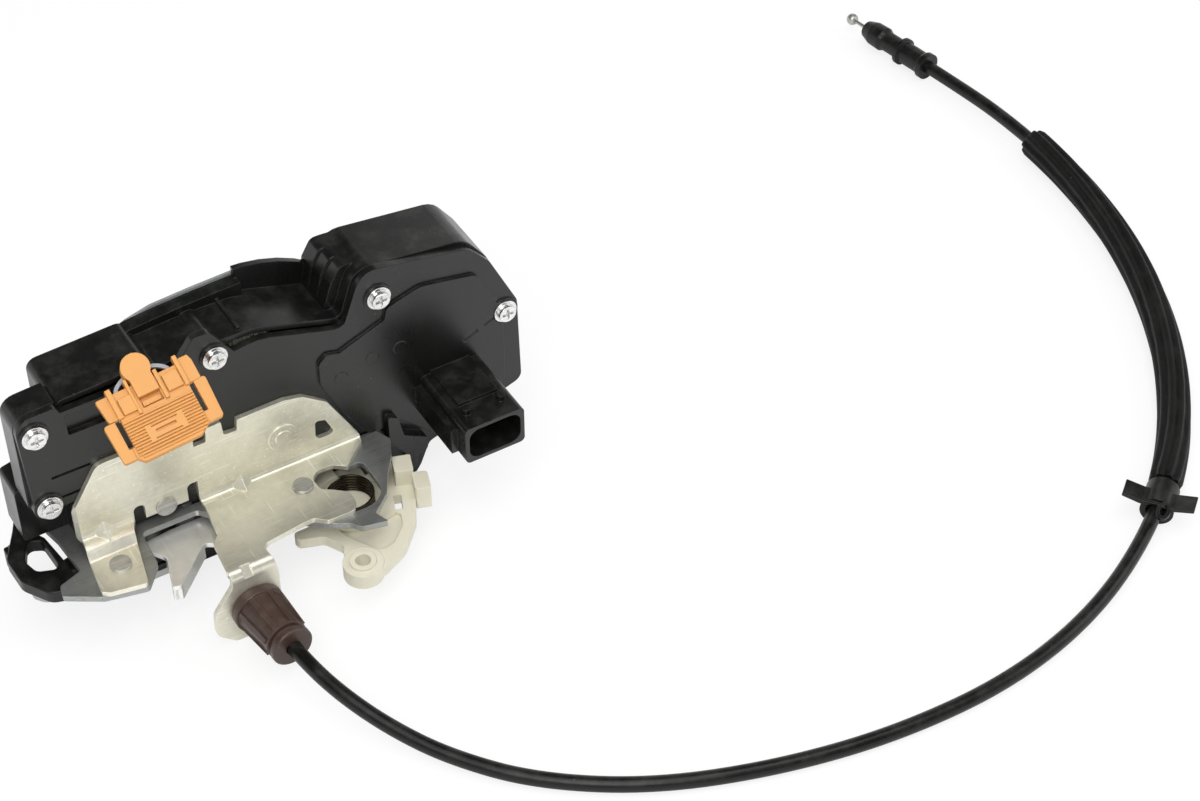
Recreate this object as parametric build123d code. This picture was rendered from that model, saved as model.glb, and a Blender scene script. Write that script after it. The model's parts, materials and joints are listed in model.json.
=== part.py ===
"""Door latch actuator: latch frame, levers, lock drive housing and release cable.

Frame: X runs along the housing, +Y away from the cover, Z up.  Millimetres.
The datum is the front face of the sheet bracket's upright, on the middle of the housing.
"""
from build123d import *
from math import cos, pi, radians, sin, tan
import os

os.makedirs("parts", exist_ok=True)

# ---------------------------------------------------------------- driving sizes
DATUM_X = 2.0            # where the datum lies in the part's own frame
DATUM_Y = 17.0
FACE_GAP = 0.3           # air between pieces that slide or turn past each other
RUN_GAP = 0.05           # radial clearance of a running pin

# sheet bracket
BRACKET_T = 2.0
BRACKET_BEND = 1.6       # inside bend radius
SHELF_TOP = 32.0
TAB_STEP = 4.0           # the left tab starts this much above the shelf
UPRIGHT_TOP = 67.0
ARM_REACH = 39.0         # from the datum to the face of the cable ear

# latch plates, below the shelf
FRAME_T = 2.4
FRAME_TOP = SHELF_TOP - BRACKET_T
STRIKER_T = 3.0
STRIKER_Z = 13.0         # underside of the striker plate
SLOT_X = -88.5           # middle of the fishmouth
SLOT_W = 16.0
SLOT_END = 3.0
STRIKER_BACK = 30.0
BOLT_R = 2.5             # M6 tapping hole
FORK_X = -66.0
FORK_Y = 14.0
FORK_PIN_R = 4.0
FORK_NOTCHES = (-25.0, 6.0)   # where the pawl holds it: closed, and half closed
FORK_R = 10.5
FORK_T = 3.4
FORK_Z = 17.6
COAT = 0.7               # plastic coat over the fork bolt
PAWL_X = -51.0
PAWL_Y = 9.0
PAWL_R = 4.4
PAWL_PIN_R = 2.5
RIVET_R = 2.2
TAB_RIVET_X = -69.8
TAB_RIVET_Y = -14.0
RIVET_HEAD_R = 3.8

# levers
LEVER_X = 16.2           # pivot of the outside handle lever
LEVER_Y = -18.6
LEVER_Z = 14.4
LEVER_T = 4.4
STUD_R = 3.5
ROD_X = 6.5
ROD_Y = -45.0
ROD_HOLE_R = 2.8
ROD_BOSS_R = 7.3
COIL_WIRE = 1.3
COIL_R = 8.0
COIL_TURNS = 5
COIL_PITCH = 1.33
RELEASE_X = 0.2
RELEASE_Y = -12.8
RELEASE_Z = 23.5
RELEASE_T = 2.0
RELEASE_WALL = 5.0
RELEASE_PIN_R = 2.5

# housing
COVER_FRONT = BRACKET_T
COVER_T = 3.0
WALL = 2.2
HOUSING_BACK = 29.0
SEAL = 1.2
HOUSING_LEFT = -77.0
BLOCK_LEFT = -92.0
HOUSING_RIGHT = 97.5
FOOT_LEFT = -36.0
FOOT_RIGHT = 52.0
BOX_TOP = 105.0
DRUM_X = -4.0
DRUM_Z = 50.0
DRUM_R = 43.0
DRUM_STEP = 3.0
SCREW_R = 2.0
SCREW_HEAD_R = 4.6
SCREW_SPOTS = [(-86.0, 88.5), (-85.8, 55.5), (-20.5, 93.0), (41.5, 91.5), (91.0, 62.5)]

# connector
SOCKET_X = 67.5
SOCKET_Z = 39.2
SOCKET_W = 24.0
SOCKET_H = 16.5
SOCKET_REACH = 34.0
SOCKET_WALL = 1.6
SOCKET_DEPTH = 20.0
TERMINAL_PITCH = 3.4
TERMINALS = 5

# retainer for transport
RETAINER_X = -46.0
RETAINER_Y = -11.0
RETAINER_Z = 89.0
RETAINER_LEAN = 38.0
RETAINER_STEM = -10.6
KNOB_X = -4.0
KNOB_UP = 16.4
KNOB_R = 4.7

# lock drive, inside the housing
MOTOR_R = 10.0
MOTOR_FLAT = 8.0
MOTOR_L = 27.0
MOTOR_X = 48.0
DRIVE_Y = 16.5
WORM_R = 4.0
WORM_L = 16.0
WORM_Z = 82.0
SHAFT_R = 1.0
WHEEL_R = 22.0
WHEEL_TEETH = 44
WHEEL_T = 6.0
AXLE_R = 2.5
LOCK_LEVER_X = -38.0
LOCK_LEVER_Z = 52.0

# release cable
CONDUIT_R = 2.8
SLEEVE_R = 6.5
CORE_R = 0.8
END_L = 38.0            # far end fitting
END_SEAT = 5.0          # the conduit goes this far into it
BALL_R = 2.6
CORE_OUT = 40.0         # inner wire from inside the far fitting to the ball
NIPPLE_Y = -22.0
FITTING_X = -32.3
FITTING_Z = 14.0
FITTING_R = 9.6
FITTING_L = 24.5
FITTING_YAW = 5.0        # the boot leans this far after the cable
FITTING_NECK = 6.8
FITTING_END_R = 7.8
FITTING_RIBS = 8
# points of the cable's route in the part's own frame, laid by hand
ROUTE = [
    (-29.2, -34.2, 14.0), (-27.6, -53.0, 14.0), (-22.5, -71.0, 10.8), (-13.5, -89.0, 6.3),
    (-1.5, -108.0, 3.5), (18.0, -131.0, 2.9), (50.0, -153.0, 2.9), (90.0, -168.0, 2.9),
    (133.0, -176.8, 2.9), (180.0, -178.2, 3.2), (224.0, -169.0, 4.6), (264.0, -149.5, 6.6),
    (297.0, -123.5, 6.6), (323.5, -91.5, 6.6), (344.5, -55.0, 6.6), (359.0, -14.0, 6.6),
    (366.6, 30.0, 6.6), (366.8, 72.0, 6.4), (363.2, 101.0, 6.2), (359.8, 121.5, 6.2),
]
SLEEVE_RUNS = (11, 16)   # the sleeve goes from the middle of one run to the middle of the other
CLIP_RUN = 11
CLIP_R = 6.2
CLIP_L = 12.0
CLIP_SLACK = 1.2


# ---------------------------------------------------------------- helpers
def outline(*corners):
    """Closed flat face in local XY; a corner is (x, y) or (x, y, radius)."""
    points = [Vector(c[0], c[1]) for c in corners]
    count = len(points)
    edges = []
    ends = []
    for i, here in enumerate(points):
        radius = corners[i][2] if len(corners[i]) > 2 else 0
        back = (points[i - 1] - here)
        ahead = (points[(i + 1) % count] - here)
        half = radians(back.get_angle(ahead)) / 2
        if radius <= 0 or abs(half - pi / 2) < 0.01:
            ends.append((here, here))
            continue
        reach = min(radius / tan(half), 0.48 * back.length, 0.48 * ahead.length)
        radius = reach * tan(half)
        first = here + back.normalized() * reach
        last = here + ahead.normalized() * reach
        bisector = (back.normalized() + ahead.normalized()).normalized()
        crown = here + bisector * (radius / sin(half) - radius)
        edges.append(ThreePointArc(first, crown, last))
        ends.append((first, last))
    for i in range(count):
        start = ends[i][1]
        finish = ends[(i + 1) % count][0]
        if (finish - start).length > 0.001:
            edges.append(Line(start, finish))
    return make_face(edges)


def upright(face, y_front, y_back):
    """A face drawn as X and Z, made solid from y_front to y_back."""
    plane = Plane(origin=(0, y_front, 0), x_dir=(1, 0, 0), z_dir=(0, -1, 0))
    return extrude(plane * face, amount=-(y_back - y_front))


def flat(face, z_low, z_high):
    """A face drawn as X and Y, made solid from z_low to z_high."""
    return extrude(Pos(0, 0, z_low) * face, amount=z_high - z_low)


def side(face, x_low, x_high):
    """A face drawn as Y and Z, made solid from x_low to x_high."""
    return extrude(Plane(origin=(x_low, 0, 0), x_dir=(0, 1, 0), z_dir=(1, 0, 0)) * face,
                   amount=x_high - x_low)


def peg(x, y, z_low, z_high, r):
    """Upright round peg."""
    return Pos(x, y, z_low) * extrude(Circle(r), amount=z_high - z_low)


def bar_y(x, z, y_front, y_back, r):
    """Round bar along Y."""
    return upright(Pos(x, z) * Circle(r), y_front, y_back)


def bar_x(y, z, x_low, x_high, r):
    """Round bar along X."""
    return side(Pos(y, z) * Circle(r), x_low, x_high)


def block(x0, x1, y0, y1, z0, z1):
    """Plain block between two corners."""
    return Pos((x0 + x1) / 2, (y0 + y1) / 2, (z0 + z1) / 2) * Box(x1 - x0, y1 - y0, z1 - z0)


def bent_sheet(points, thickness, bend):
    """Section of a bent sheet: one face follows the points, the other lies to their left."""
    near = []
    far = []
    last = len(points) - 1
    for i, point in enumerate(points):
        here = Vector(*point)
        ways = []
        if i > 0:
            ways.append((here - Vector(*points[i - 1])).normalized())
        if i < last:
            ways.append((Vector(*points[i + 1]) - here).normalized())
        lefts = [Vector(-w.Y, w.X) for w in ways]
        middle_way = lefts[0] if len(lefts) == 1 else (lefts[0] + lefts[1]).normalized()
        across = here + middle_way * (thickness / middle_way.dot(lefts[0]))
        inside, outside = (0, 0)
        if 0 < i < last:
            inside, outside = (bend, bend + thickness)
            if turns_left(points, i) > 0:
                inside, outside = (bend + thickness, bend)
        near.append((point[0], point[1], inside))
        far.append((across.X, across.Y, outside))
    return outline(*near, *reversed(far))


def turns_left(points, i):
    """Positive where the line of points turns left at point i."""
    a, b, c = points[i - 1], points[i], points[i + 1]
    return (b[0] - a[0]) * (c[1] - b[1]) - (b[1] - a[1]) * (c[0] - b[0])


def place(solid):
    """From the datum to the part's own frame."""
    return Pos(DATUM_X, DATUM_Y, 0) * solid


def save(name, *solids):
    """Write one node; more than one solid is a group of separate pieces."""
    shape = solids[0] if len(solids) == 1 else Compound(children=list(solids))
    export_step(shape, f"parts/{name}.step")


# ---------------------------------------------------------------- housing
def front_outline():
    """The cover's edge, seen from the front."""
    return outline(
        (HOUSING_LEFT + 1, FRAME_TOP + 1, 1), (HOUSING_LEFT + 1, 53, 1), (BLOCK_LEFT + 1.5, 53, 3),
        (BLOCK_LEFT, 96.5, 6), (HOUSING_LEFT, 97, 2), (HOUSING_LEFT + 1, 94, 1), (-42, 94, 2),
        (-40, 92, 1), (-36.5, 92, 1), (-27, 104, 3), (-21, 104, 3), (-13, 91.5, 1),
        (DRUM_X, DRUM_Z + DRUM_R, 30), (24, 84, 4), (28, 84, 3), (36, BOX_TOP, 8), (78, 97, 9),
        (86, 87.5, 3), (HOUSING_RIGHT - 1, 65, 4), (HOUSING_RIGHT, 26, 4), (58, 12.5, 3),
        (FOOT_RIGHT + 2, 3, 2), (FOOT_RIGHT, 0, 0), (FOOT_LEFT, 0, 0), (FOOT_LEFT, FRAME_TOP + 1, 0))


def rear_outline():
    """The rear shell's edge."""
    return outline(
        (HOUSING_LEFT, FRAME_TOP + 0.3, 0), (HOUSING_LEFT, 96.5, 4), (-43, 98, 4), (-40, 95, 1),
        (-26, 96, 1), (DRUM_X, DRUM_Z + DRUM_R + DRUM_STEP, 30), (24, 88, 3), (26, 96, 5),
        (35, BOX_TOP - 0.5, 8), (78, 99, 9), (86, 88, 3), (HOUSING_RIGHT - 1, 65, 4),
        (HOUSING_RIGHT, 26, 4), (58, 12.5, 3), (FOOT_RIGHT + 2, 3, 2), (FOOT_RIGHT, 0, 0),
        (FOOT_LEFT, 0, 0), (FOOT_LEFT, FRAME_TOP + 0.3, 0))


def cavity_outline():
    """Room inside the rear shell, one wall in from its edge."""
    return offset(rear_outline(), amount=-WALL, kind=Kind.INTERSECTION)


def main_housing():
    cover_back = COVER_FRONT + COVER_T
    body = upright(rear_outline(), cover_back, HOUSING_BACK)
    corner = outline((BLOCK_LEFT, 54, 2), (BLOCK_LEFT, 96, 6), (HOUSING_LEFT + 0.5, 97, 0),
                     (HOUSING_LEFT + 0.5, 54, 0))
    body += upright(corner, cover_back, 16)
    rear = outline((BLOCK_LEFT - 1.5, FRAME_TOP + 0.3, 1), (BLOCK_LEFT - 1.5, 54, 2),
                   (HOUSING_LEFT + 0.5, 58, 0), (HOUSING_LEFT + 0.5, FRAME_TOP + 0.3, 0))
    body += upright(rear, 15, HOUSING_BACK)
    for step, y_front in ((1, 14), (2, 20)):
        ring = Pos(DRUM_X, DRUM_Z) * Circle(DRUM_R + DRUM_STEP * (step + 1))
        window = Pos(DRUM_X, DRUM_Z + DRUM_R) * Rectangle(56, 40)
        body += upright(ring & window, y_front, HOUSING_BACK)
    rim = Pos(DRUM_X, DRUM_Z) * Circle(DRUM_R + 4 * DRUM_STEP)
    rim_window = Pos(DRUM_X + 18, DRUM_Z + DRUM_R) * Rectangle(28, 40)
    body += upright(rim & rim_window, HOUSING_BACK - 6, HOUSING_BACK)
    body -= upright(cavity_outline(), cover_back, HOUSING_BACK - WALL)
    edges = body.edges().filter_by(Axis.X).group_by(Axis.Y)[-1]
    for x, z in SCREW_SPOTS:
        body += bar_y(x, z, cover_back, 18, SCREW_R + 2.2)
        body -= bar_y(x, z, cover_back, 16, SCREW_R)
    return body


def front_cover():
    back = COVER_FRONT + COVER_T
    plate = upright(front_outline(), COVER_FRONT, back)
    raised = outline((30, 34, 3), (20, 55, 3), (16.6, 60, 1), (16.6, 72, 3), (20, 75, 2), (25, 73.5, 1), (43, 80.5, 2),
                     (44, 85.5, 2), (58, 89.5, 8), (80, 85, 4), (88.5, 66, 3), (90, 55, 3), (90, 30, 3),
                     (62, 15, 2), (46, 31, 3))
    plate += upright(raised, COVER_FRONT - 1.3, COVER_FRONT)
    window = outline((-74.5, 83, 1), (-74.5, 92.5, 1), (-58, 92.5, 1), (-58, 83, 1))
    plate -= upright(window, COVER_FRONT, back)
    for z in (57, 67):
        plate -= block(-83, -69, COVER_FRONT, COVER_FRONT + 1, z - 0.6, z + 0.6)
    for x, z in SCREW_SPOTS:
        plate += bar_y(x, z, COVER_FRONT - 0.6, back, SCREW_HEAD_R + 0.8)
        plate -= bar_y(x, z, COVER_FRONT - 4, COVER_FRONT - 0.6, SCREW_HEAD_R + 0.3)
        plate -= bar_y(x, z, COVER_FRONT - 4, back + 1, SCREW_R + 0.2)
    plate += shroud()
    plate -= socket_room()
    return plate


def shroud():
    """Connector shroud with its root block and side ribs."""
    low, high = SOCKET_Z - SOCKET_H / 2, SOCKET_Z + SOCKET_H / 2
    left, right = SOCKET_X - SOCKET_W / 2, SOCKET_X + SOCKET_W / 2
    front = COVER_FRONT - SOCKET_REACH
    body = upright(outline((left, low, 2), (left, high, 2), (right, high, 2), (right, low, 2)),
                   front, COVER_FRONT + COVER_T)
    body += block(left - 2.5, left, front + 6, COVER_FRONT + 1, low + 1.5, high - 4)
    body += block(left + 4, right - 4, front + 12, COVER_FRONT + 1, high, high + 1.2)
    for x in (left + 5, right - 5):
        body += peg(x, front + 8, high - 0.5, high + 2.4, 1.6)
    return body


def socket_room():
    """Stadium-ended room inside the shroud."""
    front = COVER_FRONT - SOCKET_REACH
    r = SOCKET_H / 2 - SOCKET_WALL
    face = Pos(SOCKET_X, SOCKET_Z) * RectangleRounded(SOCKET_W - 2 * SOCKET_WALL, 2 * r, r * 0.62)
    return upright(face, front, front + SOCKET_DEPTH)


def terminal_pins():
    front = COVER_FRONT - SOCKET_REACH
    first = SOCKET_X - TERMINAL_PITCH * (TERMINALS - 1) / 2
    pins = []
    for i in range(TERMINALS):
        x = first + i * TERMINAL_PITCH
        pins.append(block(x - 0.4, x + 0.4, front + 7, front + SOCKET_DEPTH,
                          SOCKET_Z - 0.75, SOCKET_Z + 0.75))
    return pins


def cover_screws():
    screws = []
    for x, z in SCREW_SPOTS:
        y = COVER_FRONT - 0.6
        head = bar_y(x, z, y - 0.8, y, SCREW_HEAD_R)
        dome = bar_y(x, z, y - 2.6, y - 0.8, SCREW_HEAD_R - 1.2)
        shank = bar_y(x, z, y, 15, SCREW_R)
        cross = block(x - 2.2, x + 2.2, y - 3, y - 1.4, z - 0.45, z + 0.45)
        cross += block(x - 0.45, x + 0.45, y - 3, y - 1.4, z - 2.2, z + 2.2)
        screws.append(head + dome + shank - cross)
    return screws


# ---------------------------------------------------------------- sheet bracket
def frame_bracket():
    arm_drop = [(0, UPRIGHT_TOP), (0, SHELF_TOP), (-ARM_REACH, SHELF_TOP), (-ARM_REACH, 0)]
    section = bent_sheet(arm_drop, BRACKET_T, BRACKET_BEND)
    sheet = side(section, -48, 30)
    plan = outline((-34.1, 3, 0), (-34.1, -4, 0), (-35.5, -18, 1), (-38.5, -21.5, 1), (-40, -36, 1),
                   (-49, -37, 0), (-49, -44, 0), (-20, -44, 0), (-23.7, -37, 1), (-24.4, -30.6, 4),
                   (-9, -29, 3), (1, -32.5, 3),
                   (9, -32.5, 2), (13.2, -28.5, 3), (8.5, -24, 3), (5.5, -17, 3), (8, -9.5, 4),
                   (19, -8, 1), (28.5, -1, 1), (30, 3, 0))
    sheet &= flat(plan, -1, UPRIGHT_TOP + 1)
    ear = outline((-40, 34, 0), (-40, 26.5, 3), (-47.6, 16.5, 5), (-48, 6.5, 5), (-41, 0, 3), (-24, 0, 3),
                  (-21.5, 6, 3), (-22.5, 24, 4), (-23.7, 34, 0))
    face = outline((-50, 26, 0), (-50, 60, 0), (-34.1, 60, 0), (-32.5, 64, 1), (-22, 64.5, 1),
                   (-20.5, 57.5, 0.5), (-17, 57.5, 0.5), (-16.5, 60, 1), (2, 62.5, 3), (9, 61, 3),
                   (18, 54, 3), (29, 33, 1), (31, 26, 0))
    hole = Pos(FITTING_X, FITTING_Z) * Circle(FITTING_NECK)
    sheet &= upright(face, -ARM_REACH + 3, 3) + upright(ear - hole, -ARM_REACH - 1, -ARM_REACH + 3.5)
    left = upright_left()
    dart = Pos(-17.5, -0.2, SHELF_TOP + 0.2) * Rot(45, 0, 0) * Box(3.2, 4.6, 4.6)
    sheet += left
    sheet += dart & block(-25, -10, -6, BRACKET_T, SHELF_TOP - BRACKET_T, SHELF_TOP + 6)
    for x, z, r in ((15.2, 43, 2.6),):
        sheet -= upright(Pos(x, z) * RegularPolygon(r, 3), -1, 3)
    sheet -= bar_y(-46.1, 36.2, -1, 3, RIVET_R)
    for x, y in ((RELEASE_X, RELEASE_Y), (TAB_RIVET_X, TAB_RIVET_Y)):
        sheet -= peg(x, y, FRAME_TOP - 1, SHELF_TOP + 8, RIVET_R if x < -50 else RELEASE_PIN_R)
    return sheet


def upright_left():
    """Left end of the upright with its stepped tab."""
    tab = [(0, UPRIGHT_TOP), (0, SHELF_TOP + TAB_STEP), (-4.5, SHELF_TOP + TAB_STEP),
           (-8.0, SHELF_TOP), (-27, SHELF_TOP)]
    sheet = side(bent_sheet(tab, BRACKET_T, BRACKET_BEND), -82, -33)
    plan = outline((-79.5, 3, 0), (-77.5, 0, 0), (-80.5, -22, 1), (-78, -24, 2), (-65, -26.5, 1.5),
                   (-60, -4, 0), (-58, 0, 0), (-33.5, 0, 0), (-33.5, 3, 0))
    sheet &= flat(plan, -1, UPRIGHT_TOP + 1)
    face = outline((-84, 26, 0), (-79.3, 47, 2), (-78, 51, 2), (-68.5, 66, 3), (-64, 67.5, 2),
                   (-33.5, 66.5, 0), (-33.5, 40, 0), (-36.3, 40, 1), (-36.3, 31, 0), (-53.7, 30.5, 0.5),
                   (-53.7, 41, 1.9), (-57.9, 41, 1.9), (-57.9, 26, 0))
    sheet &= upright(face, -30, 3)
    return sheet


# ---------------------------------------------------------------- latch plates
def frame_plate():
    plan = outline((-85, STRIKER_BACK, 2), (-85, 17, 1), (-83.5, 10, 1), (-82.2, -7.5, 1), (-91, -10.5, 2),
                   (-92, -15.5, 1), (-80, -23, 1), (-65, -26.5, 2), (-58, -18, 3), (-57, -2, 2),
                   (-36, -2, 2), (-31, -9, 4), (-12, -22, 3), (2, -32.5, 3), (10, -37, 3), (20.5, -41, 0.5),
                   (17.5, -35.5, 2), (26, -30, 5), (30, -22, 5), (35, -12, 4), (38, -1, 1),
                   (36, 1.5, 0), (FOOT_LEFT - 3.5, 1.5, 1), (FOOT_LEFT - 3.5, STRIKER_BACK, 2))
    plate = flat(plan, FRAME_TOP - FRAME_T, FRAME_TOP)
    plate -= flat(spring_opening(), FRAME_TOP - FRAME_T, FRAME_TOP)
    plate -= peg(FORK_X, FORK_Y, 0, 40, FORK_PIN_R - 0.8)
    plate -= peg(PAWL_X, PAWL_Y, 0, 40, PAWL_PIN_R - 0.6)
    plate -= peg(RELEASE_X, RELEASE_Y, 0, 40, RELEASE_PIN_R)
    plate -= peg(TAB_RIVET_X, TAB_RIVET_Y, 0, 40, RIVET_R)
    return plate


def spring_opening():
    """Opening over the lever's return spring, with the bar that carries the stud."""
    hole = Pos(LEVER_X, LEVER_Y) * Circle(COIL_R + 2.4)
    bridge = Pos(LEVER_X - 8, LEVER_Y - 4) * Rot(0, 0, 28) * Rectangle(20, 9)
    knob = Pos(LEVER_X, LEVER_Y) * Circle(4.6)
    return hole - bridge - knob


def striker_plate():
    right = FOOT_LEFT - 4
    plan = outline((-97, STRIKER_BACK, 2), (-97, 4, 3), (-94, 0, 4), (-84, -1, 4), (-78, -9, 4),
                   (right - 10, -9, 6), (right, 0, 5), (right, STRIKER_BACK, 4))
    mouth = outline((SLOT_X - SLOT_W / 2 + 2, STRIKER_BACK + 1, 0), (SLOT_X - SLOT_W / 2 + 2, SLOT_END, 3),
                    (SLOT_X + SLOT_W / 2, SLOT_END, 5), (SLOT_X + SLOT_W / 2 + 1, 12, 2),
                    (SLOT_X + SLOT_W / 2 + 5, STRIKER_BACK + 1, 0))
    plate = flat(plan - mouth, STRIKER_Z, STRIKER_Z + STRIKER_T)
    for x, y in STRIKER_BOLTS:
        plate -= peg(x, y, 0, 40, BOLT_R)
    plate -= peg(FORK_X, FORK_Y, 0, 40, FORK_PIN_R - 0.8)
    plate -= peg(PAWL_X, PAWL_Y, 0, 40, PAWL_PIN_R - 0.6)
    return plate


STRIKER_BOLTS = [(-71.5, 25.0), (-47.0, 25.0), (-62.0, -4.0)]


def latch_case():
    """Moulded wall between the striker plate and the frame plate."""
    low, high = STRIKER_Z + STRIKER_T, FRAME_TOP - FRAME_T
    right = FOOT_LEFT - 6
    shell = outline((-79, 30, 0), (right, 30, 4), (right, -1, 5), (right - 8, -8.5, 5), (-60, -8.5, 0),
                    (-60, -7.2, 0), (right - 8.5, -7.2, 4), (right - 1.4, 0, 4), (right - 1.4, 28.6, 3),
                    (-79, 28.6, 0))
    walls = flat(shell, low, high)
    under_lever = RELEASE_Z - RELEASE_WALL - FACE_GAP
    return walls - block(-90, right + 1, -20, 1, under_lever, high)


def fishmouth_surround():
    """Loop of plastic round the striker's way in, with a leg down beside the striker plate."""
    top = FRAME_TOP - FRAME_T - FACE_GAP
    low = FORK_Z + FORK_T + COAT + FACE_GAP
    outer = outline((-89, 30, 1), (-92, 30, 1), (-94.5, 25, 3), (-101.5, 13, 5), (-101, 1, 6),
                    (-94.5, -9.5, 6), (-85, -12.2, 2), (-83.5, -8, 1), (-84.5, 4, 0), (-86, 16, 1),
                    (-88, 20, 2))
    hole = outline((-96.2, 9, 4), (-94.5, 2.5, 3), (-88, 0, 3), (-86.8, 3, 1), (-87.4, 15, 2),
                   (-92.5, 17.5, 3))
    ring = flat(outer - hole, low, top)
    leg = outline((-99.3, 24, 1), (-99.3, 10, 2), (-97.3, 10, 0), (-97.3, 24, 0))
    return ring + flat(leg, STRIKER_Z + 0.5, low)


def fork_claws(grow=0.0):
    """The two claws of the open fork bolt, with the striker's slot between them."""
    hook = outline((FORK_X + 2, FORK_Y + FORK_R - 0.4, 3), (FORK_X - 11, FORK_Y + 13.5 + grow, 4),
                   (FORK_X - 14.5 - grow, FORK_Y + 9.5, 2), (FORK_X - 9, FORK_Y + 1, 2))
    claw = outline((FORK_X - 2, FORK_Y - 4, 1), (FORK_X - 14, FORK_Y - 6 + grow, 1),
                   (FORK_X - 21 - grow, FORK_Y - 7, 2), (FORK_X - 16, FORK_Y - 12 - grow, 3),
                   (FORK_X + 3, FORK_Y - 10, 2))
    return hook + claw


def fork_bolt():
    plan = Pos(FORK_X, FORK_Y) * Circle(FORK_R) + fork_claws()
    for angle in FORK_NOTCHES:
        notch = Rot(0, 0, angle) * Pos(FORK_R + 0.4, 0) * Rectangle(3.4, 5)
        plan -= Pos(FORK_X, FORK_Y) * notch
    steel = flat(plan, FORK_Z, FORK_Z + FORK_T)
    return steel - peg(FORK_X, FORK_Y, 0, 40, FORK_PIN_R + RUN_GAP)


def fork_bolt_coat():
    """Plastic moulded over the claws."""
    body_ring = Pos(FORK_X, FORK_Y) * Circle(FORK_R + 0.2)
    coat = flat(fork_claws(COAT) - body_ring, FORK_Z - COAT, FORK_Z + FORK_T + COAT)
    return coat - flat(fork_claws(), FORK_Z, FORK_Z + FORK_T)


def shouldered_pin(x, y, r, z_low, z_high, neck):
    """Pin with a neck in the striker plate and another in the frame plate."""
    pin = peg(x, y, z_low + STRIKER_T, z_high - FRAME_T, r)
    pin += peg(x, y, z_low, z_high, neck)
    return pin


def fork_pin():
    return shouldered_pin(FORK_X, FORK_Y, FORK_PIN_R, STRIKER_Z, FRAME_TOP, FORK_PIN_R - 0.8)


def pawl_pin():
    return shouldered_pin(PAWL_X, PAWL_Y, PAWL_PIN_R, STRIKER_Z, FRAME_TOP, PAWL_PIN_R - 0.6)


def pawl():
    plan = Pos(PAWL_X, PAWL_Y) * Circle(PAWL_R)
    plan += outline((PAWL_X - 3, PAWL_Y, 0), (PAWL_X - 2.5, PAWL_Y + 8, 2), (PAWL_X - 5, PAWL_Y + 10.5, 0.5),
                    (PAWL_X - 4.2, PAWL_Y + 15, 1), (PAWL_X + 3, PAWL_Y + 17, 2), (PAWL_X + 4.4, PAWL_Y, 0))
    body = flat(plan, FORK_Z, FORK_Z + FORK_T)
    return body - peg(PAWL_X, PAWL_Y, 0, 40, PAWL_PIN_R + RUN_GAP)


def wound_spring(x, y, z, radius, wire, turns):
    """Closed-wound coil."""
    path = Helix(pitch=COIL_PITCH, height=COIL_PITCH * turns, radius=radius)
    start = path @ 0
    section = Plane(origin=start, z_dir=path % 0) * Circle(wire / 2)
    return Pos(x, y, z) * sweep(section, path=path)


def striker_bumper():
    plan = outline((SLOT_X - 3, SLOT_END, 0), (SLOT_X - 3, SLOT_END + 4, 1.5),
                   (SLOT_X + 3, SLOT_END + 4, 1.5), (SLOT_X + 3, SLOT_END, 0))
    return flat(plan, STRIKER_Z, STRIKER_Z + STRIKER_T)


def plate_rivets():
    """Rivets of the tab and of the upright."""
    tab = peg(TAB_RIVET_X, TAB_RIVET_Y, FRAME_TOP - FRAME_T, SHELF_TOP, RIVET_R)
    tab += peg(TAB_RIVET_X, TAB_RIVET_Y, SHELF_TOP, SHELF_TOP + 1.2, RIVET_HEAD_R)
    face = bar_y(-46.1, 36.2, 0, BRACKET_T, RIVET_R) + bar_y(-46.1, 36.2, -1.2, 0, RIVET_HEAD_R)
    return [tab, face]


# ---------------------------------------------------------------- levers
def handle_lever():
    """Moulded lever that the outside handle's rod turns."""
    plan = outline((-7, -20.5, 2), (-7.5, -25.5, 2), (1, -33, 3), (0.5, -42, 1), (6, -52, 2),
                   (14, -50.5, 4), (27, -40, 12), (36, -25, 8), (39, -12, 3), (36, -5, 2),
                   (28, -7, 4), (20, -9, 8), (8, -14, 8), (3, -20, 3))
    body = flat(plan, LEVER_Z, LEVER_Z + LEVER_T)
    body += peg(ROD_X, ROD_Y, LEVER_Z - 1, LEVER_Z + LEVER_T + 1.6, ROD_BOSS_R)
    body += peg(LEVER_X, LEVER_Y, LEVER_Z, LEVER_Z + LEVER_T + 5, STUD_R + 1.8)
    body += block(37.5, 43.5, -30, -8, LEVER_Z, LEVER_Z + 11.5)
    body += block(38.5, 42, -16, -8, LEVER_Z, LEVER_Z + 14)
    body -= peg(ROD_X, ROD_Y, 0, 40, ROD_HOLE_R)
    body -= peg(LEVER_X, LEVER_Y, 0, 40, STUD_R + RUN_GAP)
    return body


def lever_stud():
    """Stud riveted into the frame plate; the lever turns on it."""
    stud = peg(LEVER_X, LEVER_Y, LEVER_Z - FACE_GAP, FRAME_TOP - FRAME_T, STUD_R)
    stud += peg(LEVER_X, LEVER_Y, LEVER_Z - FACE_GAP - 1.6, LEVER_Z - FACE_GAP, STUD_R + 2.2)
    return stud


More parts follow.
